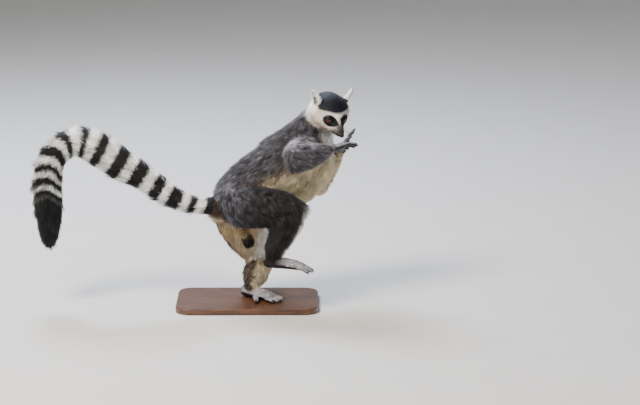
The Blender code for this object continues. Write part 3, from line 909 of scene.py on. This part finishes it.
class Skin:
    """The finished skin, with what every point of it needs to carry a coat."""

    def __init__(self, head, lie, parts, tail_line, markings):
        points, faces = flesh(head, lie, parts)
        points = relax(points, quad_edges(faces), 2)
        on_body = [not name.startswith(FINE_PARTS) for name in FLESH]
        points, faces = thinned(points, faces, np.array(on_body)[parts.nearest(points)])
        local = head.local(points[faces].mean(1))
        face = (local[:, 0] > 0.004) & (distance(local, 0) < 0.080)
        self.points, self.triangles, self.edges = refine(points, faces, face)
        self.points = shape_lids(self.points, head)
        self.normals = normals_of(self.points, self.triangles)
        self.points = shape_muzzle(self.points, self.normals, head)
        self.normals = normals_of(self.points, self.triangles)
        self.part = parts.nearest(self.points)
        self.broad = unit(relax(self.normals, self.edges, 25))
        self.set_coat(head, tail_line)
        self.set_lie(head, lie)
        self.set_colour(markings)

    def weight(self, names, rounds):
        """1 on the named nodes, fading to 0 round them."""
        return relax(on(self.part, *names).astype(float), self.edges, rounds)

    def set_coat(self, head, tail_line):
        coats = np.array([COATS_MM[kind_of(name)] for name in FLESH])[self.part] * MM
        on_head = on(self.part, "head")
        ahead, _, up = head.local(self.points[on_head]).T
        short = step(0.006, 0.040, ahead)
        cheek = step(0.012, -0.020, up) * step(0.030, 0.0, ahead)
        coats[on_head, 0] = (4.2 + 2.5 * cheek - 3.2 * short) * MM
        coats[on_head, 1] = (9.0 + 5.0 * cheek - 6.2 * short) * MM
        coats[on_head, 2] = (0.95 - 0.40 * short) * MM
        coats[on(self.part, *EARS), 0] = 1.0 * MM
        for kind, side in EXTREMITIES:
            limb = f"{'forearm' if kind == 'hand' else 'shank'}_{side}"
            # the coat thins out towards the wrist and the ankle
            away = distance(self.points, meeting(f"{kind}_{side}", limb))
            near = step(0.045, 0.010, away) * on(self.part, limb)
            coats[:, :2] *= 1 - 0.58 * near[:, None]
        lifted = ("forearm_right", "upper_arm_right")
        away = distance(self.points, meeting(*lifted))
        under = step(0.0, 0.7, -self.broad[:, 2]) * step(0.085, 0.045, away)
        coats[:, :2] += np.outer(under * on(self.part, *lifted), FRINGE_MM) * MM
        on_tail = on(self.part, *TAIL)
        # it is shorter near the root of the tail and at its end
        along = tail_line.place(self.points[on_tail])[0]
        slim = 1 - 0.35 * step(0.12, 0.0, along) - 0.25 * step(0.49, 0.56, along)
        coats[on_tail, :2] *= slim[:, None]
        self.coat = relax(coats, self.edges, 14)
        self.on_tail = self.weight(TAIL, 4)
        self.on_head = self.weight(("head", "nose"), 4)
        self.bare = self.bare_places(head)

    def bare_places(self, head):
        """1 where no hair grows: nose, lids, palms and soles."""
        bare = self.weight(("nose",), 3)
        for kind, side in EXTREMITIES:
            names = (f"{kind}_{side}", *digits(kind, side))
            faces = unit(PALM_FACES[f"{kind}_{side}"])
            bare = np.maximum(bare, self.weight(names, 3) * step(0.05, 0.35, self.normals @ faces))
        for side in SIDES:
            bare = np.maximum(bare, step(1.45, 1.25, lid_rim(self.points, head, side)))
        return bare

    def set_lie(self, head, lie):
        ways = np.array([lie[name] for name in FLESH])[self.part]
        on_head = on(self.part, "head")
        nose_tip = far_end("nose", head.centre)
        ways[on_head] = unit(self.points[on_head] - nose_tip)
        hang = np.array([HANGS.get(kind_of(name), 0) for name in FLESH])[self.part]
        for side in SIDES:
            # the hair of the arm turns with the elbow
            arm = (f"upper_arm_{side}", f"forearm_{side}")
            upper, lower = (lie[name] for name in arm)
            inside = meeting(*arm) + 0.015 * unit(lower - upper)
            near = step(0.050, 0.025, distance(self.points, inside)) * on(self.part, *arm)
            hinge = unit(np.cross(upper, lower))
            around = unit(np.cross(hinge, self.points - inside))
            around = around * step(0.85, 0.35, np.abs(self.broad @ hinge))[:, None]
            around[:, 2] -= ELBOW_HANG
            ways = mix(ways, around, near)
            hang = hang * (1 - near)
        ways[:, 2] -= hang
        ways = relax(ways, self.edges, 30)
        self.lie = unit(across(ways, self.normals))

    def set_colour(self, markings):
        on_ear = on(self.part, *EARS)[:, None]
        facing = np.where(on_ear, self.normals, self.broad)
        ground = markings.ground(self.points, facing, self.part)
        self.ground = np.where(on_ear, ground, relax(ground, self.edges, 14))
        self.colour = markings.finish(
            self.points, self.ground.copy(), self.on_tail, self.on_head
        )
        self.colour = mix(self.colour, linear(BARE_BLACK), self.bare)

    def make(self, material):
        mesh = mesh_of("skin", self.points, self.triangles)
        add_colours(mesh, "skin_colour", self.colour)
        add_values(mesh, "bare", self.bare)
        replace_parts(show("skin", mesh, material), *FLESH)


# ---------------------------------------------------------------- the coat
# a tuft is a slim three-sided spindle: a root point, a ring where it is fullest, and a tip
FULLEST = 0.42
RIDGE = 0.60
TUFT_FACES = ((0, 2, 1), (0, 3, 2), (0, 1, 3), (1, 2, 4), (2, 3, 4), (3, 1, 4))
UNDER_FACES = (0, 3)
TUFT_SHADES = (0.68, 0.92, 0.92, 0.92, 1.10)
TUFT_PATCH = ((0.5, 0.0), (0.0, 0.42), (1.0, 0.42), (0.5, 0.30), (0.5, 1.0))
UV_PATCH = 0.003
ROOT_SUNK = 0.0004
# no hair goes below the upper face of the board
SOLE_LEVEL = 0.0124
# what shows of a tuft is its outer half, so its colour is read there
COLOUR_READ = 0.7
# tufts that stand up from the rest: the share of them, and how much higher they stand
STRAYS = (0.08, 0.55)
TAIL_STRAYS = (0.22, 0.85)
# where the hair of the face ends and that of the crown starts, ahead of the head's middle
FACE_STARTS = 0.010

# piece: parts it covers, number of tufts, clump size in mm, share of clumping, slot
COAT_PIECES = {
    "coat_face": (("head",), 32000, 3.0, 0.20, "white_coat"),
    "coat_crown": (("head",), 23000, 4.0, 0.30, "white_coat"),
    "coat_ears": (EARS, 9000, 3.0, 0.20, "white_coat"),
    "coat_neck_and_chest": (("neck", "trunk_chest"), 32500, 7.0, 0.40, "grey_coat"),
    "coat_belly_and_rump": (("trunk_belly", "trunk_rump"), 33000, 7.0, 0.40, "grey_coat"),
    "coat_arms": (
        tuple(name for name in LIMBS if "arm" in name), 21000, 5.0, 0.35, "grey_coat",
    ),
    "coat_leg_right": (("thigh_right", "shank_right"), 20000, 6.0, 0.40, "grey_coat"),
    "coat_leg_left": (("thigh_left", "shank_left", "scrotum"), 20500, 6.0, 0.40, "pale_coat"),
    "coat_hands_and_feet": (
        tuple(n for k, s in EXTREMITIES for n in (f"{k}_{s}", *digits(k, s))),
        13000, 3.0, 0.25, "pale_coat",
    ),
    "coat_tail_base": (TAIL[:3], 14000, 7.0, 0.45, "black_coat"),
    "coat_tail_middle": (TAIL[3:5], 16000, 7.0, 0.45, "black_coat"),
    "coat_tail_end": (TAIL[5:], 16000, 8.0, 0.62, "black_coat"),
}


class Roots:
    """Random places on the skin where the tufts of one piece grow."""

    def __init__(self, skin, chosen, count):
        triangles = skin.triangles[chosen]
        first, second, third = (skin.points[triangles[:, k]] for k in range(3))
        area = np.linalg.norm(np.cross(second - first, third - first), axis=1) / 2
        self.area = area.sum()
        need = area * (1 - skin.bare[triangles].mean(1)) / skin.coat[triangles, 2].mean(1)
        total = np.cumsum(need)
        picked = np.searchsorted(total, RANDOM.random(count) * total[-1])
        self.corners = triangles[np.minimum(picked, len(triangles) - 1)]
        share = RANDOM.random((count, 2))
        over = share.sum(1) > 1
        share[over] = 1 - share[over]
        self.share = np.column_stack((1 - share.sum(1), share))
        self.points = self.blend(skin.points)
        self.normals = unit(self.blend(skin.normals))
        self.part = skin.part[self.corners[:, 0]]

    def blend(self, values):
        picked = values[self.corners]
        share = self.share if values.ndim == 1 else self.share[..., None]
        return (picked * share).sum(1)


class Tufts:
    """The tufts of one piece: where each stands, its size, and the way it lies."""

    def __init__(self, roots, skin, strays, clump, clumping):
        self.roots = roots
        self.count = len(roots.points)
        depth, length, self.width = roots.blend(skin.coat).T

        # the coat is never even: it stands and lies over in drifts
        often, high = strays
        lift = 1 + 0.22 * drift(roots.points, 0.010, 1) + 0.10 * RANDOM.normal(size=self.count)
        lift = lift + high * (RANDOM.random(self.count) < often)
        length = length * (1 + 0.16 * RANDOM.normal(size=self.count)).clip(0.55, 1.5)
        self.height = (depth * lift).clip(0.15 * MM, length * 0.8)
        turn = 0.30 * drift(roots.points, 0.014, 2) + 0.14 * RANDOM.normal(size=self.count)
        straight = unit(across(roots.blend(skin.lie), roots.normals))
        sideways = np.cross(roots.normals, straight)
        self.way = straight * np.cos(turn)[:, None] + sideways * np.sin(turn)[:, None]
        self.sideways = np.cross(roots.normals, self.way)
        self.reach = np.sqrt(length**2 - self.height**2)
        self.sway = self.width * RANDOM.normal(size=self.count) * 0.8

        # the tips of a clump draw together
        self.clumping = clumping
        self.lead, self.off = self.clumps(clump * MM)
        ends = self.middle_at(1.0)
        to_lead = ends[self.lead] - ends
        far = np.maximum(np.linalg.norm(to_lead, axis=1), 1e-6)
        pull = np.clip(clumping * length / far, 0, 1)
        self.gather = to_lead * (clumping * np.minimum(1, pull)[:, None])

    def clumps(self, size):
        """For each tuft, the lead tuft of its clump, and its distance from it in clump sizes."""
        roots = self.roots
        leads = RANDOM.choice(self.count, max(4, int(roots.area / size**2)))
        tree = KDTree(len(leads))
        for number in leads:
            tree.insert(roots.points[number], int(number))
        tree.balance()
        found = [tree.find(point) for point in roots.points.tolist()]
        return np.array([hit[1] for hit in found]), np.array([hit[2] for hit in found]) / size

    def middle_at(self, t):
        """Where the middle of each tuft is at a share t of its length, before it is gathered."""
        rise = 1 - (1 - t) ** 1.7
        return (
            self.roots.points
            + self.way * (self.reach * t)[:, None]
            + self.roots.normals * (self.height * rise - ROOT_SUNK)[:, None]
            + self.sideways * (self.sway * math.sin(math.pi * t))[:, None]
        )

    def points(self):
        """The five points of each tuft."""
        up = self.roots.normals
        full = self.middle_at(FULLEST) + self.gather * FULLEST**2
        half = (self.width / 2)[:, None]
        points = np.stack((
            self.middle_at(0.0), full - self.sideways * half, full + self.sideways * half,
            full + up * half * 2 * RIDGE, self.middle_at(1.0) + self.gather,
        ), 1)
        points[..., 2] = np.maximum(points[..., 2], SOLE_LEVEL)
        return points

    def normals(self):
        """A normal for each corner of each face, so that the coat is shaded as one."""
        up, way, sideways = self.roots.normals, self.way, self.sideways
        corners = (up, up * 1.2 - sideways, up * 1.2 + sideways, up * 2, up * 1.5 + way)
        normals = unit(np.stack(corners, 1))[:, np.array(TUFT_FACES)]
        normals[:, UNDER_FACES] = unit(way * 0.7 - up * 0.5)[:, None, None]
        return normals.reshape(-1, 3)

    def colours(self, skin, markings, ringed, even):
        """Colours of the five points of each tuft: by its place, then made uneven, with painted
        light and shade on its clump.
        """
        roots = self.roots
        colour = markings.finish(
            self.middle_at(COLOUR_READ), roots.blend(skin.ground), roots.blend(skin.on_tail),
            roots.blend(skin.on_head), ringed,
        )
        colour = grizzled(colour, roots.points)
        # each clump has its own random tone; its tufts are painted lighter near its middle and
        # darker towards its edge, as painted light on the clumps and painted shade in the gaps
        # between them, less on pale hair
        clump_tone_and_shade = 1.0 * RANDOM.normal(size=self.count)[self.lead] + 1.3 * (0.40 - self.off)
        clump_tone_and_shade = 1 + self.clumping * clump_tone_and_shade * (1 - even * step(0.20, 0.50, colour.mean(1)))
        colour = colour * clump_tone_and_shade.clip(0.35, 1.7)[:, None]
        colours = colour[:, None] * np.array(TUFT_SHADES)[None, :, None]
        return colours.reshape(-1, 3).clip(0, 1)


def grizzled(colours, points):
    """Uneven colour of real hair: soft patches, and single tufts lighter, darker or browner."""
    count = len(points)
    grey = 1 - step(0.25, 0.55, colours.mean(1))
    patchy = 0.32 * drift(points, 0.010, 4) + 0.32 * drift(points, 0.005, 5)
    patchy = patchy + 0.16 * drift(points, 0.026, 8)
    patchy = 1 + (patchy + 0.22 * RANDOM.normal(size=count)) * (0.35 + 0.65 * grey)
    brown = 0.30 * step(0.1, 0.9, drift(points, 0.012, 6)) + 0.25 * (RANDOM.random(count) < 0.15)
    dark = 1 - step(0.005, 0.012, colours.mean(1))
    warmer = colours * np.array((1.12, 0.95, 0.80))
    colours = mix(colours, warmer, brown * grey)
    pale = (RANDOM.random(count) < 0.13) * grey * (1 - dark)
    colours = colours * (1 + 1.3 * pale)[:, None]
    return colours * patchy.clip(0.35, 1.9)[:, None]


def unwrapped(roots, lie):
    """Place of each root on a flat map: each part has a strip, turned round its own length."""
    flat = np.zeros((len(roots.points), 2))
    found = np.unique(roots.part)
    for row, number in enumerate(found):
        here = roots.part == number
        axis = lie[FLESH[number]]
        offset = roots.points[here] - middle(FLESH[number])
        sideways = unit(np.cross(axis, (0.3, 0.9, 0.2)))
        other = np.cross(axis, sideways)
        turn = np.arctan2(offset @ other, offset @ sideways) / (2 * math.pi) + 0.5
        reach = offset @ axis
        reach = (reach - reach.min()) / max(np.ptp(reach), 1e-9)
        flat[here, 0] = turn
        flat[here, 1] = (row + reach) / len(found)
    return UV_PATCH + flat * (1 - 3 * UV_PATCH)


def set_patches(mesh, places):
    """Maps each tuft to a small patch at its root's place on the flat map."""
    flat = (places[:, None] + np.array(TUFT_PATCH)[None] * UV_PATCH).reshape(-1, 2)
    layer = mesh.uv_layers.new(name="OFBake")
    loops = read(mesh.loops, "vertex_index", 1, np.int32).ravel()
    layer.uv.foreach_set("vector", flat[loops].astype(np.float32).ravel())


def grow(name, skin, lie, markings, material):
    """Makes one piece of the coat."""
    parts, count, clump, clumping, slot = COAT_PIECES[name]
    owner = on(skin.part, *parts)
    if name in ("coat_face", "coat_crown"):
        ahead = markings.head.local(skin.points)[:, 0] > FACE_STARTS
        owner &= ahead if name == "coat_face" else ~ahead
    on_tail = parts[0] in TAIL
    roots = Roots(skin, owner[skin.triangles[:, 0]], count)
    tufts = Tufts(roots, skin, TAIL_STRAYS if on_tail else STRAYS, clump, clumping)
    points = tufts.points()
    starts = np.arange(count)[:, None, None] * len(TUFT_SHADES)
    triangles = (np.array(TUFT_FACES)[None] + starts).reshape(-1, 3)
    colours = tufts.colours(skin, markings, not on_tail, 0.30 if on_tail else 0.60)

    mesh = mesh_of(name, points.reshape(-1, 3), triangles)
    mesh.normals_split_custom_set(tufts.normals())
    add_colours(mesh, "coat_colour", colours)
    if on_tail:
        places = markings.hair_ring_place(points, tufts.middle_at(COLOUR_READ))
        add_values(mesh, "ring_place", places)
    set_patches(mesh, unwrapped(roots, lie))
    show(name, mesh, material)


# ---------------------------------------------------------------- materials
def new_material(name):
    material = bpy.data.materials.new(name)
    material.use_nodes = True
    tree = material.node_tree
    return material, tree, tree.nodes["Principled BSDF"]


def fill(tree, node, inputs):
    """Sets a node's inputs: each is a value, or a node and its output that is linked."""
    for name, value in inputs.items():
        if isinstance(value, tuple) and isinstance(value[0], bpy.types.Node):
            source, output = value
            tree.links.new(source.outputs[output], node.inputs[name])
        else:
            node.inputs[name].default_value = value


def add(tree, kind, inputs=None, **settings):
    """Adds a shader node with its settings and inputs."""
    made = tree.nodes.new(f"ShaderNode{kind}")
    for name, value in settings.items():
        setattr(made, name, value)
    fill(tree, made, inputs or {})
    return made


def fill_ramp(ramp, stops):
    elements = ramp.color_ramp.elements
    while len(elements) < len(stops):
        elements.new(0.5)
    for element, (place, colour) in zip(elements, stops):
        element.position = place
        element.color = colour


def between_rings(tree, strands):
    """1 in the white rings of the tail, and the faint uneven grey of black hair between them."""
    place = add(tree, "Attribute", attribute_name="ring_place")
    whole = Markings.RINGED_MM
    share = add(tree, "MapRange", {"Value": (place, "Fac"), "From Max": whole * MM})
    bands = [(0, Markings.ROOT_ENDS / MM, 1.0)]
    bands += [(start, end, 1.0) for start, end in Markings.WHITE_RINGS_MM]
    bands.append((*Markings.GREY_RING_MM, 0.09))
    stops = []
    for start, end, level in bands:
        stops += [(start / whole, (level, level, level, 1)), (end / whole, (0, 0, 0, 1))]
    ramp = add(tree, "ValToRGB", {"Fac": (share, "Result")})
    ramp.color_ramp.interpolation = "CONSTANT"
    fill_ramp(ramp, stops)
    black_hair = add(tree, "MapRange", {
        "Value": (strands, "Fac"), "From Min": 0.35, "From Max": 0.65,
        "To Min": 0.001, "To Max": 0.026,
    })
    return add(tree, "Math", {0: (ramp, "Color"), 1: (black_hair, "Result")}, operation="MAXIMUM")


def hair_coat(name, ringed=False):
    """Dense wool-like hair: matt, with a soft light edge where it is seen side on."""
    material, tree, shader = new_material(name)
    colour = add(tree, "Attribute", attribute_name="coat_colour")
    where = add(tree, "TexCoord")
    strands = add(
        tree, "TexNoise", {"Vector": (where, "Object"), "Scale": 1 / (1.5 * MM), "Detail": 2.0}
    )
    shade = add(tree, "MapRange", {
        "Value": (strands, "Fac"), "From Min": 0.3, "From Max": 0.7,
        "To Min": 0.80, "To Max": 1.20,
    })
    tinted = add(
        tree, "VectorMath", {0: (colour, "Color"), "Scale": (shade, "Result")}, operation="SCALE"
    )
    if ringed:
        rings = between_rings(tree, strands)
        tinted = add(
            tree, "VectorMath", {0: (tinted, "Vector"), "Scale": (rings, "Value")},
            operation="SCALE",
        )
    fill(tree, shader, {
        "Base Color": (tinted, "Vector"), "Roughness": 0.60, "Specular IOR Level": 0.20,
        "Sheen Weight": 0.10, "Sheen Roughness": 0.45,
    })
    return material


def bare_leather():
    """Living skin: fine creases with painted shade in them, and pores, a little moist where no
    hair grows.
    """
    material, tree, shader = new_material("bare_leather")
    colour = add(tree, "Attribute", attribute_name="skin_colour")
    bare = add(tree, "Attribute", attribute_name="bare")
    where = add(tree, "TexCoord")
    pores = add(tree, "TexVoronoi", {"Vector": (where, "Object"), "Scale": 1 / (0.9 * MM)})
    creases = add(
        tree, "TexNoise", {"Vector": (where, "Object"), "Scale": 1 / (3.0 * MM), "Detail": 4.0}
    )
    # the skin is painted darker where its crease relief is low: painted shade in the creases
    dark = add(tree, "MapRange", {
        "Value": (creases, "Fac"), "From Min": 0.3, "From Max": 0.7,
        "To Min": 0.60, "To Max": 0.95,
    })
    tinted = add(
        tree, "VectorMath", {0: (colour, "Color"), "Scale": (dark, "Result")}, operation="SCALE"
    )
    gloss = add(tree, "MapRange", {"Value": (bare, "Fac"), "To Min": 0.80, "To Max": 0.58})
    relief = add(tree, "Math", {0: (pores, "Distance"), 1: (creases, "Fac")}, operation="ADD")
    bump = add(
        tree, "Bump", {"Height": (relief, "Value"), "Strength": 0.5, "Distance": 0.25 * MM}
    )
    fill(tree, shader, {
        "Base Color": (tinted, "Vector"), "Roughness": (gloss, "Result"),
        "Normal": (bump, "Normal"), "Specular IOR Level": 0.35,
    })
    return material


def wet_eye():
    """Orange-brown iris, darkened all over with painted shade, with fine spokes round a small
    pupil, under a wet clear front.
    """
    material, tree, shader = new_material("wet_eye")
    where = add(tree, "TexCoord")
    split = add(tree, "SeparateXYZ", {"Vector": (where, "Object")})
    flat = add(tree, "CombineXYZ", {"X": (split, "X"), "Y": (split, "Y")})
    radius = add(tree, "VectorMath", {0: (flat, "Vector")}, operation="LENGTH")
    spread = add(tree, "MapRange", {"Value": (radius, "Value"), "From Max": EYEBALL})
    # the iris is painted darker than its own orange all over: painted shade
    iris = (
        (0.0, "#030202"), (0.225, "#030202"), (0.255, "#2c0f06"), (0.42, "#612a14"),
        (0.58, "#4a1f0e"), (0.68, "#1c0b06"), (0.74, "#0e0806"), (1.0, "#15100e"),
    )
    ramp = add(tree, "ValToRGB", {"Fac": (spread, "Result")})
    fill_ramp(ramp, [(place, opaque(colour)) for place, colour in iris])
    turn = add(tree, "Math", {0: (split, "Y"), 1: (split, "X")}, operation="ARCTAN2")
    around = add(tree, "CombineXYZ", {"X": (turn, "Value"), "Y": (spread, "Result")})
    spokes = add(tree, "TexNoise", {"Vector": (around, "Vector"), "Scale": 9.0, "Detail": 3.0})
    shade = add(tree, "MapRange", {
        "Value": (spokes, "Fac"), "From Min": 0.3, "From Max": 0.7,
        "To Min": 0.65, "To Max": 1.30,
    })
    tinted = add(
        tree, "VectorMath", {0: (ramp, "Color"), "Scale": (shade, "Result")}, operation="SCALE"
    )
    fill(tree, shader, {
        "Base Color": (tinted, "Vector"), "Roughness": 0.10, "IOR": 1.376,
        "Coat Weight": 0.5, "Coat Roughness": 0.02,
    })
    return material


def dark_horn(name, colour, roughness):
    """Keratin, as in nails and whiskers: dark, smooth, with faint growth lines."""
    material, tree, shader = new_material(name)
    where = add(tree, "TexCoord")
    lines = add(
        tree, "TexNoise", {"Vector": (where, "Object"), "Scale": 1 / (0.8 * MM), "Detail": 2.0}
    )
    tint = add(
        tree, "Mix", {0: (lines, "Fac"), 6: opaque(colour), 7: opaque("#3a302a")},
        data_type="RGBA",
    )
    fill(tree, shader, {"Base Color": (tint, 2), "Roughness": roughness, "IOR": 1.54})
    return material


def stained_beech():
    """Beech board stained dark and oiled: long fine grain with short flecks, satin."""
    material, tree, shader = new_material("stained_beech")
    where = add(tree, "TexCoord")
    along, flecks_along = (
        add(tree, "Mapping", {"Vector": (where, "Object"), "Scale": (1.0, stretch, stretch)})
        for stretch in (14.0, 7.0)
    )
    grain = add(tree, "TexNoise", {
        "Vector": (along, "Vector"), "Scale": 1 / (45 * MM), "Detail": 5.0, "Distortion": 0.6,
    })
    flecks = add(
        tree, "TexNoise",
        {"Vector": (flecks_along, "Vector"), "Scale": 1 / (6 * MM), "Detail": 1.0},
    )
    fleck = add(tree, "MapRange", {"Value": (flecks, "Fac"), "From Min": 0.60, "From Max": 0.68})
    ramp = add(tree, "ValToRGB", {"Fac": (grain, "Fac")})
    fill_ramp(ramp, [(0.35, opaque("#3d2415")), (0.68, opaque("#704629"))])
    tint = add(
        tree, "Mix", {0: (fleck, "Result"), 6: (ramp, "Color"), 7: opaque("#8a6a58")},
        data_type="RGBA", blend_type="MULTIPLY",
    )
    gloss = add(tree, "MapRange", {"Value": (grain, "Fac"), "To Min": 0.30, "To Max": 0.48})
    bump = add(
        tree, "Bump", {"Height": (grain, "Fac"), "Strength": 0.25, "Distance": 0.3 * MM}
    )
    fill(tree, shader, {
        "Base Color": (tint, 2), "Roughness": (gloss, "Result"), "Normal": (bump, "Normal"),
        "Coat Weight": 0.25, "Coat Roughness": 0.25,
    })
    return material


def pale_floor():
    """Matt painted floor, with the faint unevenness of a roller."""
    material, tree, shader = new_material("painted_floor")
    where = add(tree, "TexCoord")
    roller = add(
        tree, "TexNoise", {"Vector": (where, "Object"), "Scale": 1 / (120 * MM), "Detail": 3.0}
    )
    tint = add(
        tree, "Mix", {0: (roller, "Fac"), 6: opaque("#d6d3ce"), 7: opaque("#dcdad6")},
        data_type="RGBA",
    )
    fill(tree, shader, {"Base Color": (tint, 2), "Roughness": 0.85})
    return material


# ---------------------------------------------------------------- eyes, nails, whiskers
CORNEA_EDGE = 0.72
CORNEA_BULGE = 0.055


def make_eye(side, head, material):
    """A whole eyeball whose clear front bulges over the iris; it looks along its own Z."""
    mesh = bmesh.new()
    bmesh.ops.create_uvsphere(mesh, u_segments=48, v_segments=32, radius=EYEBALL)
    for vertex in mesh.verts:
        towards = max(0.0, vertex.co.normalized().z - CORNEA_EDGE) / (1 - CORNEA_EDGE)
        vertex.co *= 1 + CORNEA_BULGE * towards
    for face in mesh.faces:
        face.smooth = True
    data = bpy.data.meshes.new(f"eyeball_{side}")
    mesh.to_mesh(data)
    mesh.free()
    data.materials.append(material)
    eye = add_object(f"eyeball_{side}", data)
    eye.rotation_mode = "QUATERNION"
    eye.rotation_quaternion = Vector((0, 0, 1)).rotation_difference(Vector(head.gaze(side)))
    eye.location = head.eyes[side]
    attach(eye, "root")
    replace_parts(eye, f"eye_{side}")


def nail_shape(tip, along, back, width, length):
    """A curved plate on the end of a digit, rounded to a blunt point."""
    rows, columns = 6, 6
    aside = np.cross(along, back)
    thickness = 0.10 * width
    # the nail keeps its full width up to here, then rounds off
    rounds = 0.45
    points = []
    for layer in (1, 0):
        for i in range(rows + 1):
            t = i / rows
            half = width / 2 * math.sqrt(max(0.04, 1 - max(0.0, t - rounds) ** 2 / 0.56**2))
            for k in range(columns + 1):
                v = 2 * k / columns - 1
                arch = -0.34 * width * v * v - 0.22 * length * t * t
                points.append(
                    tip + along * (t - 0.62) * length + aside * v * half
                    + back * (arch + thickness * layer)
                )
    return np.array(points), plate_faces(rows, columns)[:, (0, 3, 2, 1)]


def make_nails(kind, side, lie, material):
    shapes = []
    facing = -unit(PALM_FACES[f"{kind}_{side}"])
    for number, name in enumerate(digits(kind, side), 1):
        along = lie[name]
        back = unit(across(facing, along))
        own = solid(name)[0]
        reach = (own - own.mean(0)) @ along
        end = own[reach > np.quantile(reach, 0.75)]
        width = np.ptp((end - end.mean(0)) @ np.cross(along, back)) * 0.72
        top = ((end - own.mean(0)) @ back).max()
        tip = own.mean(0) + along * reach.max() + back * (top - 0.22 * width)
        # the second toe carries the long grooming claw
        claw = kind == "foot" and number == 2
        length = width * (2.1 if claw else 1.35)
        shapes.append(nail_shape(tip, along, back, width * (0.7 if claw else 1.0), length))
    name = f"nails_{kind}_{side}"
    show(name, mesh_of(name, *joined(shapes)), material)


def whisker(root, out, length, head):
    """A stiff hair that tapers to its tip and bends back."""
    sides = 4
    rings = (0.0, 0.3, 0.65, 1.0)
    bend = -head.ahead * 0.30 - head.up * 0.12
    aside = unit(np.cross(out, head.up))
    above = np.cross(aside, out)
    points = []
    for t in rings:
        centre = root - out * 0.001 + out * length * t + bend * length * t * t
        radius = 0.00022 * (1 - t) + 0.00005
        for k in range(sides):
            angle = 2 * math.pi * k / sides
            points.append(centre + (aside * math.cos(angle) + above * math.sin(angle)) * radius)
    faces = []
    for ring in range(len(rings) - 1):
        for k in range(sides):
            a = ring * sides + k
            b = ring * sides + (k + 1) % sides
            faces.append((a, b, b + sides, a + sides))
    end = len(points) - sides
    faces += [(3, 2, 1, 0), (end, end + 1, end + 2, end + 3)]
    return np.array(points), np.array(faces)


def make_whiskers(head, skin, material):
    """Long stiff hairs on the upper lip and over the brows, thin and bent back."""
    shapes = []
    tree = BVHTree.FromPolygons(skin.points.tolist(), skin.triangles.tolist())
    for side in (1, -1):
        lip = [
            (0.052 - 0.0045 * row, 0.010 * side, -0.0035 - 0.0028 * line)
            for row in range(3) for line in range(3)
        ]
        brow = [(0.030, (0.010 + 0.003 * k) * side, 0.020) for k in range(2)]
        for local in lip + brow:
            root = np.array(tree.find_nearest(head.place(local))[0])
            length = (0.034 if local in lip else 0.020) * RANDOM.uniform(0.75, 1.1)
            if local in lip:
                ahead, up = 0.35, RANDOM.uniform(-0.35, 0.10)
            else:
                ahead, up = 0.2, 0.75
            out = unit(head.left * side * 0.75 + head.ahead * ahead + head.up * up)
            shapes.append(whisker(root, out, length, head))
    show("whiskers", mesh_of("whiskers", *joined(shapes)), material)


# ---------------------------------------------------------------- stage, light, camera
AIM = Vector((0.149, 0.0, 0.2134))
LENS_MM = 150.0
SENSOR_MM = 36.0
# the camera stands where its view is this wide at AIM
VIEW_WIDTH = 1.306
LOOK_DOWN = math.radians(12)
FLOOR_REACH = 30.0


def make_stage():
    corners = np.array(((-1, -1, 0), (1, -1, 0), (1, 1, 0), (-1, 1, 0)))
    mesh = mesh_of("floor", corners * FLOOR_REACH, np.array([(0, 1, 2, 3)]))
    mesh.materials.append(pale_floor())
    add_object("floor", mesh)


def add_light(name, place, size, power, colour):
    light = bpy.data.lights.new(name, "AREA")
    light.size = size
    light.energy = power
    light.color = linear(colour)
    lamp = add_object(name, light)
    lamp.location = place
    lamp.rotation_euler = (AIM - Vector(place)).to_track_quat("-Z", "Y").to_euler()


def make_light():
    add_light("key", (-1.3, -1.6, 2.4), 1.0, 150, "#fff6ea")
    add_light("back", (-0.8, 1.5, 2.3), 1.1, 122, "#e0eaff")
    add_light("fill", (2.6, -1.5, 1.2), 2.2, 20, "#fff8ee")
    world = bpy.data.worlds.new("studio")
    world.use_nodes = True
    background = world.node_tree.nodes["Background"]
    background.inputs["Color"].default_value = opaque("#dfe3e8")
    background.inputs["Strength"].default_value = 0.42
    bpy.context.scene.world = world


def make_camera():
    data = bpy.data.cameras.new("camera")
    data.lens = LENS_MM
    data.sensor_width = SENSOR_MM
    data.clip_end = 100
    camera = add_object("camera", data)
    stand_off = VIEW_WIDTH * LENS_MM / SENSOR_MM
    camera.location = AIM + Vector((0, -math.cos(LOOK_DOWN), math.sin(LOOK_DOWN))) * stand_off
    camera.rotation_euler = (math.radians(90) - LOOK_DOWN, 0, 0)
    bpy.context.scene.camera = camera


# ---------------------------------------------------------------- putting it together
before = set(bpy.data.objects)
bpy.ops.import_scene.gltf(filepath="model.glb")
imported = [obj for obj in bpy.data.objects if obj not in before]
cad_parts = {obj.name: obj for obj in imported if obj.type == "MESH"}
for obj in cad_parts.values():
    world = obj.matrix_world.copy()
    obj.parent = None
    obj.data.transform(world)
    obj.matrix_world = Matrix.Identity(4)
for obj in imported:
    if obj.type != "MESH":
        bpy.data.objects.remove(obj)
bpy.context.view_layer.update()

make_camera()
make_light()
make_stage()

head = Head()
parts = Parts()
lie = lie_of_parts(head)
tail_line = TailLine()
markings = Markings(head, lie, tail_line)

skin = Skin(head, lie, parts, tail_line, markings)
skin.make(bare_leather())
hair = hair_coat("lemur_hair")
ringed_hair = hair_coat("ringed_tail_hair", ringed=True)
for piece in COAT_PIECES:
    grow(piece, skin, lie, markings, ringed_hair if "tail" in piece else hair)

eye_finish = wet_eye()
for side in SIDES:
    make_eye(side, head, eye_finish)
nail_finish = dark_horn("nail_horn", "#1c1715", 0.35)
for kind, side in EXTREMITIES:
    make_nails(kind, side, lie, nail_finish)
make_whiskers(head, skin, dark_horn("whisker_horn", "#0d0b0a", 0.40))

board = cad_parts["stand_base"]
board.data.materials.clear()
board.data.materials.append(stained_beech())
